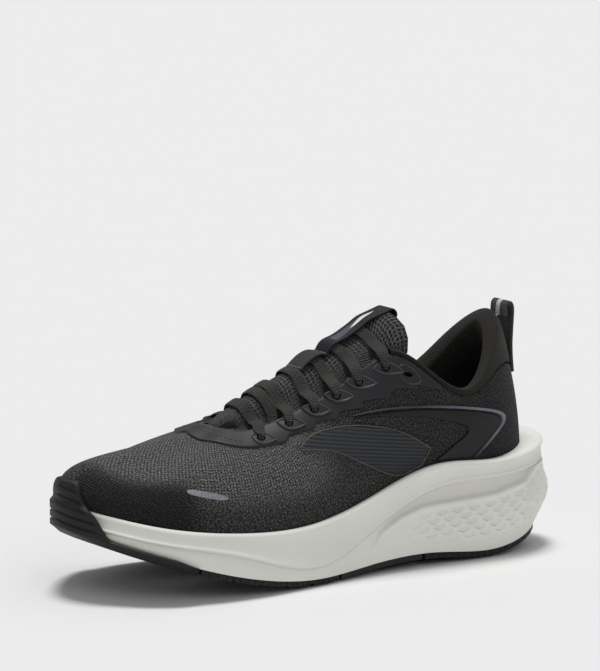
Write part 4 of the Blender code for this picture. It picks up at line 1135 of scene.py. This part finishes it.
def side_grid(lower_edge, upper_edge, side, rows, columns):
    """(k, v) between two edges that are drawn from the side, and the drawn places themselves."""
    low, high = (
        smooth_through(np.linspace(0, 1, len(edge)), edge, np.linspace(0, 1, rows))[:, None]
        for edge in (lower_edge, upper_edge)
    )
    seen = low + np.linspace(0, 1, columns)[:, None] * (high - low)
    return (*side_view_place(seen[..., 0], seen[..., 1], side), seen)


def side_films():
    """On each flank the ribbed panel with its edge line, the heel film and the welt over it."""
    for side, name in SIDES:
        k, v, seen = side_grid(FIN_LOW, FIN_HIGH, side, 91, 31)
        edge = rounded(upper(k, v), 0.9)
        slab(f"side_fin_{name}_panel", upper(k, v, -0.3 + 1.25 * edge), upper(k, v, -0.6), PAINT["ribbed"],
             cloth=seen + seen[..., :1] * (0, 0.135), replaced=(f"side_fin_{name}",), slot="navy")
        place = np.stack([k, v], -1)
        rim = np.concatenate([place[:, -1], place[-1, -2::-1], place[-2::-1, 0], place[0, 1:-1]]).T
        line = upper(*rim, 0.55)
        tube(f"side_fin_{name}_edge", line, 0.34, PAINT["edge"], upper(*rim, 1.5) - line, slot="navy")
        k, v, _ = side_grid(HEEL_LOW, HEEL_HIGH, side, 121, 23)
        laid(f"heel_film_{name}_skin", k, v, HEEL_FILM_HIGH, PAINT["heel_film"], radius=0.8,
             replaced=(f"heel_film_{name}",), slot="film")
        k, v, _ = side_grid(TRIM_LOW, TRIM_HIGH, side, 141, 9)
        share = np.linspace(0, 1, 141)[:, None]
        pale = rise(share, 0.25, 0.55) * rise(share, 1.05, 0.7) + 0 * k
        laid(f"heel_piping_{name}_welt", k, v, PIPING_HIGH, PAINT["piping"], radius=1.1,
             values={"pale": pale}, replaced=(f"heel_piping_{name}",), slot="trim")


def toe_badge():
    """A plain pill with a raised rim."""
    t = crowded(61)[:, None]
    half = 0.026 * np.sqrt(np.maximum(1 - np.abs(t) ** 5, 0.01))
    k, v = 2.465 + 0.34 * t, 0.327 - 0.024 * t + half * crowded(17)
    rim = 1 - rise(rounded(upper(k, v), 1.1), 0, 1)
    laid("toe_badge_patch", k, v, BADGE_HIGH + 0.25 * rim, PAINT["badge"], radius=0.35,
         replaced=("toe_badge",), slot="grey")


def padded_collar():
    """The padded rim and the heel's lining: one ring of points across, carried round the heel."""
    k = np.linspace(5.82, TURN - 5.82, 241)
    from_end = np.minimum(k, TURN - k)
    grow = rise(from_end, 6.35, 7.45)
    low = np.minimum(mesh_top(k) + 0.012, 0.995)
    ring = [
        (low, -0.15, -0.15), (low * 0.75 + 0.25, 0.55, 0.65), (low * 0.3 + 0.7, 0.8, 1.15), (1.0, 0.4, 0.5),
        (1.022, -1.2, -2.2), (1.02, -2.6, -5.2), (0.985, -3.6, -8.2), (0.9, -4.1, -9.6),
        (0.76, -4.1, -8.8), (0.6, -4.2, -6.2), (0.44, -4.3, -4.5), (0.1, -4.4, -4.4),
        (0.1, -3.5, -3.5), (0.45, -3.3, -3.3), (0.52, -2.0, -2.0), (low, -1.9, -1.9),
    ]
    knots = np.stack([upper(k, v, thin + (full - thin) * grow) for v, thin, full in ring])
    around = np.linspace(0, len(ring), 97)[:-1]
    grid = periodic(knots.reshape(len(ring), -1), around).reshape(96, len(k), 3).transpose(1, 0, 2)
    made = piece("padded_collar_lining", grid, tube_faces(len(k), 96), PAINT["lining"],
                 cloth=cloth_of(grid), replaced=("padded_collar",), slot="lining", crease=70)
    return made


def pull_tab():
    """A flat loop of webbing behind the heel. Only its outer face has the pale stripe."""
    path = np.stack([TAB_X, TAB_Z], 1)
    line = smooth_through(np.linspace(0, 1, len(path)), path, np.linspace(0, 1, 121))
    along = unit(np.gradient(line, axis=0))
    face = np.linspace(-TAB_HALF, TAB_HALF, 23)
    deep = TAB_THICK / 2
    profile = [(0, y) for y in face] + [(deep, TAB_HALF + 0.3)]
    profile += [(2 * deep, -y) for y in face] + [(deep, -TAB_HALF - 0.3)]
    depth, y = np.array(profile).T
    x = line[:, :1] - depth * along[:, 1:]
    z = line[:, 1:] + depth * along[:, :1]
    cloth = alike(np.where(depth == 0, y, BEYOND_STRIPE), travelled(line)[:, None])
    piece("pull_tab_webbing", np.stack(alike(x, y, z), -1), tube_faces(len(line), len(y)), PAINT["webbing"],
          cloth=np.stack(cloth, -1), replaced=("pull_tab",), slot="trim")


# ======== tongue, label and lace
def tongue_cloth():
    """The whole tongue as one padded piece, with a rounded rim."""
    x = np.concatenate([np.linspace(-59, 30, 90), np.linspace(30.5, 53, 46)])[:, None]
    t = np.linspace(-1, 1, 61)[None, :]
    face = tongue_face(x, t)
    rim = rounded(face, 2.2)
    pad = 1.9 + 1.5 * rise(x, 34, 46)
    mid = tongue_face(x, t, -TONGUE_THICK / 2)
    swell = (tongue_face(x, t, 1.0) - face) * (pad * rim)[..., None]
    middle = 0.85 * rise(np.abs(t), 0.74, 0.49) * rise(x, -50, -34)
    tongue = slab("tongue_padded", mid + swell, mid - swell, PAINT["mesh"], cloth=cloth_of(face), body=None,
                  values={"open": np.maximum(rise(x, 27, 36), middle)}, crease=80)
    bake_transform(tongue)
    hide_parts("tongue_lower", "tongue_top")


def ribbon(name, middle, up, half_width, paint, **more):
    """A flat band with soft edges along a line, its cloth map across and along in millimetres."""
    across = half_width * np.concatenate([np.linspace(-1, 1, 25), np.linspace(1, -1, 25)])
    high = BAND_THICK * np.concatenate([[0.75], np.ones(23), [0.75], np.zeros(25)])
    grid = middle[:, None] + across[:, None] * SIDEWAYS + high[:, None] * up[:, None]
    cloth = np.stack(alike(across, travelled(middle)[:, None]), -1)
    return piece(name, grid, tube_faces(*grid.shape[:2]), paint, cloth=cloth, **more)


def ridge_line(x, heights_x, heights):
    """Points at listed heights over the tongue's ridge, and the way up from it at each."""
    h = smooth_through(heights_x, heights, x)
    middle = tongue_face(x, 0 * x, h)
    return middle, tongue_face(x, 0 * x, h + 1) - middle


def tongue_bands():
    """The lace keeper with its two rows of stitches, and the label, folded over the tongue's top."""
    x = np.linspace(-3, 13.5, 46)
    middle, up = ridge_line(x, (-3, 2.5, 7, 11, 13.5), (0.35, 2.3, 2.9, 2.0, 0.35))
    ribbon("lace_keeper_band", middle, up, 7.0, PAINT["keeper"], replaced=("lace_keeper",), slot="navy")
    y = np.linspace(-6.3, 6.3, 20)[:, None]
    for number, place in enumerate((1, -2), 1):
        line = middle[place] + y * SIDEWAYS + 0.95 * up[place]
        stitches(f"keeper_stitch_{number}", line, up[place] + 0 * line, PAINT["thread_pale"],
                 length=1.3, gap=0.8, radius=0.28, slot="navy")
    x = np.linspace(14, 53, 105)
    middle, up = ridge_line(
        x, (13.9, 17.6, 24, 31, 37, 41, 46, 53), (0.35, 2.9, 3.0, 3.0, 3.0, 2.9, 1.5, 0.55),
    )
    angles = np.linspace(0, math.radians(150), 16)[1:, None]
    fold_up = np.cos(angles) * up[-1] + np.sin(angles) * unit(middle[-1] - middle[-2])
    fold = middle[-1] + FOLD_RADIUS * (fold_up - up[-1])
    middle, up = np.concatenate([middle, fold]), np.concatenate([up, fold_up])
    label = ribbon("tongue_label_band", middle, up, 6.2, PAINT["label"], body=None)
    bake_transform(label)
    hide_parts("tongue_label", "tongue_label_top")


def lace():
    """One flat lace along the part's own route."""
    hidden = {"width": 4.4, "thick": 1.2}
    route = LaceRoute()
    k, v = EYELETS[0]
    for dk, dv in ((0.05, -0.28), (0.03, -0.19), (0.01, -0.1)):
        route.on_upper(dk - k, v + dv, LACE_IN, **hidden)
    route.through_eyelet(-k, v, inwards=False)
    route.on_upper(0.05 - k, v + 0.065, LACE_OUT - 1.2, width=5.4)
    route.over_tongue(-1, k - 0.1, 0.975, LACE_OUT - 1.2)
    route.on_upper(k - 0.05, v + 0.065, LACE_OUT - 1.0, width=5.4)
    route.through_eyelet(k, v, inwards=True)
    route.on_upper(k + 0.08, 0.88, LACE_IN, **hidden)
    route.on_upper(k + 0.18, 0.95, LACE_IN - 0.2, **hidden)
    route.over_tongue(1, k + 0.22, 1.0, LACE_IN - 0.5, width=4.8)
    k = EYELETS[1][0]
    route.on_upper(0.25 - k, 0.95, LACE_IN - 0.2, **hidden)
    route.on_upper(0.12 - k, 0.9, LACE_IN, **hidden)
    side = -1
    for (k, v), (k_next, _) in zip(EYELETS[1:], (*EYELETS[2:], (None, None))):
        route.through_eyelet(side * k, v, inwards=False)
        route.over_tongue(side, k, 0.985, LACE_OUT)
        side = -side
        route.through_eyelet(side * k, v, inwards=True)
        for share in (0.3, 0.7) if k_next else ():
            route.on_upper(side * (k + (k_next - k) * share), 0.86, LACE_IN, **hidden)
    for dv in (-0.1, -0.19, -0.28):
        route.on_upper(side * k, v + dv, LACE_IN, **hidden)
    grid, across, travel = route.sections()
    piece("lace_braid", grid, tube_faces(*grid.shape[:2]), PAINT["lace"],
          cloth=np.stack(alike(across, travel[:, None]), -1), replaced=("lace",), slot="lace", crease=70)


# ======== the sole
def stacked(knots, places, samples):
    """A smooth curve, for every station at once, through knots at places, read at samples."""
    values = np.stack(knots).reshape(len(knots), -1)
    return smooth_through(places, values, samples).reshape(len(samples), *knots[0].shape)


def midsole_carrier():
    """The upper foam: footbed, wall inside the rim, rim, flank, lip over the seam, underside."""
    k = np.linspace(0, TURN, 401)[:-1]
    rim_z, rim_out = by_station(RIM_Z, k), by_station(RIM_OUT, k)
    seam_z, seam_out = by_station(PARTING_Z, k) + 0.1, by_station(PARTING_OUT, k)
    rim_v = height_on_wall(k, rim_z)
    clear = BOARD_THICK + GAP
    thick = np.clip((rim_z - seam_z) / 14, 0, 1)

    def flank(share, sunk):
        """A line at that share of the way from rim to seam, sunk in where the foam is thick."""
        z = rim_z * (1 - share) + seam_z * share
        return sole(k, 1, z, rim_out * (1 - share) + seam_out * share - sunk * thick)

    bed = [sole(k, r, footbed(k, r, clear)) for r in (0, 0.45, 0.85)]
    bed.append(upper(k, 0.0, GAP) - (0, 0, clear))
    wall = [upper(k, rim_v * share, 0.05) for share in np.linspace(0, 1, 9)]
    rim = [
        sole(k, 1, rim_z + 0.35, rim_out * 0.3), sole(k, 1, rim_z + 0.55, rim_out * 0.6),
        sole(k, 1, rim_z + 0.3, rim_out * 0.9), sole(k, 1, rim_z - 0.9, rim_out + 0.1),
    ]
    side = stacked(
        [sole(k, 1, rim_z - 1.6, rim_out + 0.15), flank(0.3, 0.5), flank(0.7, 0.3),
         sole(k, 1, seam_z + 1.1, seam_out + 0.75 * thick)],
        (0, 0.35, 0.7, 1), np.linspace(0, 1, 24),
    )
    lip = [sole(k, 1, seam_z + 0.3, seam_out + 0.6 * thick), sole(k, 1, seam_z - 0.25, seam_out - 0.1),
           sole(k, 1, seam_z - 0.25, seam_out - 1.6)]
    under = [seam_point(k, r, FOAM_GAP / 2) for r in (0.88, 0.75, 0.4, 0)]
    rows = np.stack([*bed, *wall, *rim, *side, *lip, *under], 1)
    # painted shade: a darker band along the lip over the foams' seam, given as the hollow value
    above_seam = rows[..., 2] - seam_z[:, None]
    lowest = rise(above_seam, 1.6, 0.4) * rise(above_seam, -1.0, -0.4)
    piece("midsole_carrier_foam", rows, grid_faces(len(k), rows.shape[1], True), PAINT["foam"],
          values={"hollow": 0.12 * lowest}, replaced=("midsole_carrier",), slot="foam", crease=65)


def scales(along, down):
    """Relief of staggered scales, from 0 to 1: each swells downwards and ends in a V-shaped lip."""
    relief = 0 * along
    for shift in (0, 1):
        depth = down - shift * SCALE_DEEP / 2
        row = np.floor(depth / SCALE_DEEP)
        place = np.mod(along + shift * SCALE_LONG / 2 + 1.3 * row, SCALE_LONG)
        aside = np.abs(2 * place / SCALE_LONG - 1)
        lip = 1.7 * (1 - aside / 0.8)
        under = depth - row * SCALE_DEEP - 4.0
        body = np.clip(1 + (under - lip) / 2.6, 0, 1) ** 1.5 * rise(under, lip, lip - 0.5)
        relief = np.maximum(relief, body * rise(aside, 0.82, 0.42))
    return relief


def midsole_cushion():
    """The lower foam. Under a ridge its heel carries scales, its waist small dots."""
    k = np.linspace(0, TURN, 1001)[:-1]
    seam_out, bulge_out, bottom_out = (by_station(x, k) for x in (PARTING_OUT, BULGE_OUT, BOTTOM_OUT))
    seam_z = by_station(PARTING_Z, k) - 0.2
    bottom_z = bottom_height(k, np.ones_like(k))

    def flank(share, out):
        """A line at that share of the way from seam to bottom."""
        return sole(k, 1, seam_z * (1 - share) + bottom_z * share, out)

    knots = [
        flank(0, seam_out), flank(0.28, seam_out * 0.4 + bulge_out * 0.6), flank(0.6, bulge_out),
        flank(0.92, bottom_out * 0.8 + bulge_out * 0.2), flank(1, bottom_out),
    ]
    side = stacked(knots, (0, 0.28, 0.6, 0.9, 1), np.linspace(0, 1, 91))
    x, z = side[..., 0], side[..., 2]
    below_seam, above_floor = seam_z - z, z - bottom_z
    below_ridge = np.interp(x, RIDGE_X, RIDGE_Z) - z
    reach = rise(x, 12, 38)
    recess = rise(below_ridge, 0.8, -0.8) * reach
    lip = np.exp(-(((below_ridge - 1.5) / 1.6) ** 2)) * reach
    edge = rise(below_seam, 0, 1.2)
    around = lengths(sole(k, 1, 30.0, bulge_out)[:, None], 0)[:, 0]
    zone = rise(x + 0.5 * below_ridge, 40, 66) * rise(below_ridge, 1.8, 3.8)
    zone = zone * rise(above_floor, 2.5, 14.5) * (1 - 0.65 * rise(x, 124, 134))
    relief = scales(around + 0 * z, below_ridge - 1.2) * zone
    # where each scale's lip overhangs: painted shade goes there
    under_lip = np.clip(np.diff(relief, axis=0, prepend=0) * -1.8, 0, 1) * edge
    waist = rise(x, 30, 10) * rise(x, -60, -30)
    waist = waist * rise(below_seam, 2.5, 4.5) * rise(above_floor, 1.5, 3.5)
    dots = np.sin(around * 2 * math.pi / 3.4) * np.sin(z * 2 * math.pi / 3.0)
    out = -1.9 * recess + 0.7 * lip + 1.2 * relief + 0.22 * np.clip(dots, 0, 1) ** 2 * waist
    out = out - (0.5 - 0.3 * rise(x, 20, -10)) * (1 - edge)
    side = side + out[..., None] * plan_normal(k)
    top = [seam_point(k, r, -FOAM_GAP / 2) for r in (0, 0.4, 0.75, 0.88)]
    under = [sole(k, r, bottom_height(k, np.full_like(k, r)), bottom_out) for r in (0.97, 0.8, 0.55, 0.3, 0)]
    rows = np.stack([*top, *side, *under], 1)
    hollow = np.zeros(rows.shape[:2])
    # painted shade: darker along the seam, in the recess under the ridge and under each scale's lip
    hollow[:, len(top):len(top) + len(side)] = (0.12 * (1 - edge) + 0.25 * recess + 0.95 * under_lip).T
    piece("midsole_cushion_foam", rows, grid_faces(len(k), rows.shape[1], True), PAINT["foam"],
          values={"hollow": hollow}, replaced=("midsole_cushion",), slot="foam", crease=65)


def toe_bumper():
    """The toe wrap: bars across the tip, slanted ribs down its sides."""
    k = np.linspace(-2.35, 2.35, 301)
    out = by_station(BOTTOM_OUT, k)
    tab = np.interp(np.abs(k - 0.02), (0.26, 0.36, 0.43, 0.5, 0.74, 1.0), (1.0, 0.96, 0.84, 0.6, 0.4, 0.0))
    tab = np.convolve(np.pad(tab, 4, mode="edge"), np.ones(9) / 9, "valid")
    bottom_z, rim_z = by_station(BOTTOM_Z, k), by_station(RIM_Z, k)
    ending = rise(np.abs(k), 2.36, 2.01)
    top_z = bottom_z + 0.3 + 1.3 * ending + tab * (59 - bottom_z)
    widest = np.maximum(by_station(BULGE_OUT, k), by_station(PARTING_OUT, k)) + 0.8
    inner, outer = [], []
    for r in (0.0, 0.2, 0.4, 0.6, 0.8, 0.9, 0.97):
        z = bottom_height(k, np.full_like(k, r)) - GAP
        inner.append(sole(k, r, z, out))
        outer.append(sole(k, r, z - RUBBER, out))
    tall = rise(np.abs(top_z - bottom_z), 5, 13)
    for share in np.linspace(0.06, 1, 64):
        z = bottom_z + share * (top_z - bottom_z)
        on_foam = sole(k, 1, z, widest + GAP)
        on_upper = upper(k, height_on_wall(k, z), GAP)
        inner.append(on_foam + (on_upper - on_foam) * rise(z - rim_z, 0.8, 4.3)[:, None])
        bar = np.mod((z + 5 * np.abs(k) - 2.2) / 4.3, 1.0)
        rib = rise(bar, 0, 0.12) * rise(bar, 0.84, 0.72)
        below_top = top_z - z
        bead = np.where(below_top < 2.6, 1.0, rib * rise(below_top, 0, 1.6) * tall + 1 - tall)
        edge = quarter_round(below_top)
        thick = (0.2 + (1.15 + 0.75 * bead) * (0.25 + 0.75 * edge)) * (0.25 + 0.75 * ending)
        outer.append(inner[-1] + plan_normal(k) * thick[:, None])
    slab("toe_bumper_rubber", np.stack(outer, 1), np.stack(inner, 1), PAINT["rubber"], folded=True,
         replaced=("outsole_toe_wrap",), slot="rubber", crease=60)


def insole():
    """The sockliner: flat underside, an edge that cups the heel, and a fabric top."""
    k = np.linspace(0, TURN, 201)[:-1]
    cup = 5.0 * np.exp(-(((k - HALF) / 3.0) ** 2)) + 1.0
    edge = -inner_clearance(k)

    def line(r, height, inset=0.0):
        """A line at that height over the footbed, in from the insole's edge."""
        return sole(k, r, footbed(k, np.full_like(k, r), -height), edge - inset)

    under = [line(r, 0.3 + GAP) for r in (0, 0.3, 0.6, 0.85, 0.97)]
    sides = ((1.6, 0.3, 0), (3.2, 0.8, 0.1), (4.2, 1, 0.7), (4.2, 0.9, 1.5), (INSOLE_THICK, 0.6, 2.2),
             (INSOLE_THICK, 0.3, 3.2), (INSOLE_THICK, 0.1, INSOLE_RIM))
    around = [line(1, height + share * cup, inset) for height, share, inset in sides]
    over = [line(r, INSOLE_THICK, INSOLE_RIM) for r in (0.8, 0.55, 0.3, 0)]
    rows = np.stack([*under, *around, *over], 1)
    made = piece("insole_fabric", rows, grid_faces(len(k), rows.shape[1], True), PAINT["insole"],
                 body="sockliner", cloth=rows[..., :2], replaced=("insole",), slot="lining", crease=70)


def carried(node, paint):
    """A CAD node that stays as it is, in a material of the scene's own."""
    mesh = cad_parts[node].data
    mesh.materials.clear()
    mesh.materials.append(paint)


# ======== stage, light and camera
def stage():
    """A wide, pale paper floor; the low camera sees nothing but paper behind the shoe."""
    mesh = bpy.data.meshes.new("paper")
    far = 30  # metres
    mesh.from_pydata([(-far, -far, 0), (far, -far, 0), (far, far, 0), (-far, far, 0)], [], [(0, 1, 2, 3)])
    p = Paint("paper_pale", 0.95, Specular_IOR_Level=0.0)
    grain = p.noise(p.object_mm(), 0.02, 2.0)
    p.colour(p.mix(grain, FLOOR_TONE, times(FLOOR_TONE, 0.995)))
    mesh.materials.append(p.material)
    paper = placed("paper", mesh)


def softbox(name, heading, height, strength, spread):
    """A distant soft light: the way it comes from, in degrees, its strength and how wide it looks."""
    lamp = bpy.data.lights.new(name, "SUN")
    lamp.energy = strength
    lamp.angle = math.radians(spread)
    a, b = math.radians(heading), math.radians(height)
    towards = Vector((math.cos(b) * math.cos(a), math.cos(b) * math.sin(a), math.sin(b)))
    placed(name, lamp).rotation_euler = towards.to_track_quat("Z", "Y").to_euler()


def lights():
    """White light from all round, a large source overhead and a weaker one in front."""
    world = bpy.data.worlds.new("studio")
    world.use_nodes = True
    background = world.node_tree.nodes["Background"]
    background.inputs["Color"].default_value = (1, 1, 1, 1)
    background.inputs["Strength"].default_value = ROOM
    bpy.context.scene.world = world
    softbox("overhead", 75, 80, 2.1, 18)
    softbox("front_window", -98, 35, 0.33, 30)


def camera():
    """A low view from the toe's outer side, through a long lens."""
    data = bpy.data.cameras.new("camera")
    data.lens = LENS
    data.sensor_width = 36
    data.clip_end = 100
    obj = placed("camera", data)
    obj.location = (CAMERA_PLACE - DATUM) * MM
    towards = Vector((CAMERA_AIM - CAMERA_PLACE) * MM)
    obj.rotation_euler = towards.to_track_quat("-Z", "Y").to_euler()
    bpy.context.scene.camera = obj


PAINT = {
    "knit": knit_paint(),
    "film": film_paint(),
    "patch": film_paint("film_patch", (0.011, 0.011, 0.013), 0.4, rim=True),
    "heel_film": film_paint("heel_film", (0.0035, 0.0035, 0.0042), 0.42),
    "ribbed": ribbed_paint(),
    "foam": foam_paint(),
    "rubber": rubber_paint(),
    "tread": tread_paint(),
    "lining": lining_paint(),
    "insole": lining_paint("insole_cloth", (0.014, 0.014, 0.0135)),
    "lace": lace_paint(),
    "mesh": open_mesh_paint(),
    "label": label_paint(),
    "keeper": keeper_paint(),
    "webbing": webbing_paint(),
    "piping": piping_paint(),
    "badge": badge_paint(),
    "edge": edge_paint(),
    "board": board_paint(),
    "thread_pale": thread_paint("thread_pale", (0.12, 0.13, 0.14), (0.35, 0.36, 0.38)),
    "thread_dark": thread_paint("thread_dark", (0.004, 0.004, 0.004), (0.02, 0.02, 0.02)),
    "plastic": rubber_paint("plastic_dark", (0.012, 0.012, 0.013)),
}

bpy.context.scene.view_settings.view_transform = "Standard"
camera()
stage()
lights()
eyelet_tool = punch_tool()
upper_knit(knit_pattern(), eyelet_tool)
eyestay(eyelet_tool)
for side_sign, side_name in SIDES:
    for patch_number, (patch_at, patch_drop) in enumerate(zip(EYELETS, PATCH_DROP), 1):
        eyelet_patch(side_sign, side_name, patch_number, *patch_at, patch_drop, eyelet_tool)
bpy.data.objects.remove(eyelet_tool)
spare_rims()
side_films()
toe_badge()
padded_collar()
pull_tab()
tongue_cloth()
tongue_bands()
lace()
midsole_carrier()
midsole_cushion()
toe_bumper()
insole()
for cad_node in RUBBER_PADS:
    carried(cad_node, PAINT["tread"])
for cad_node in PLASTIC_PARTS:
    carried(cad_node, PAINT["plastic"])
carried("strobel_board", PAINT["board"])
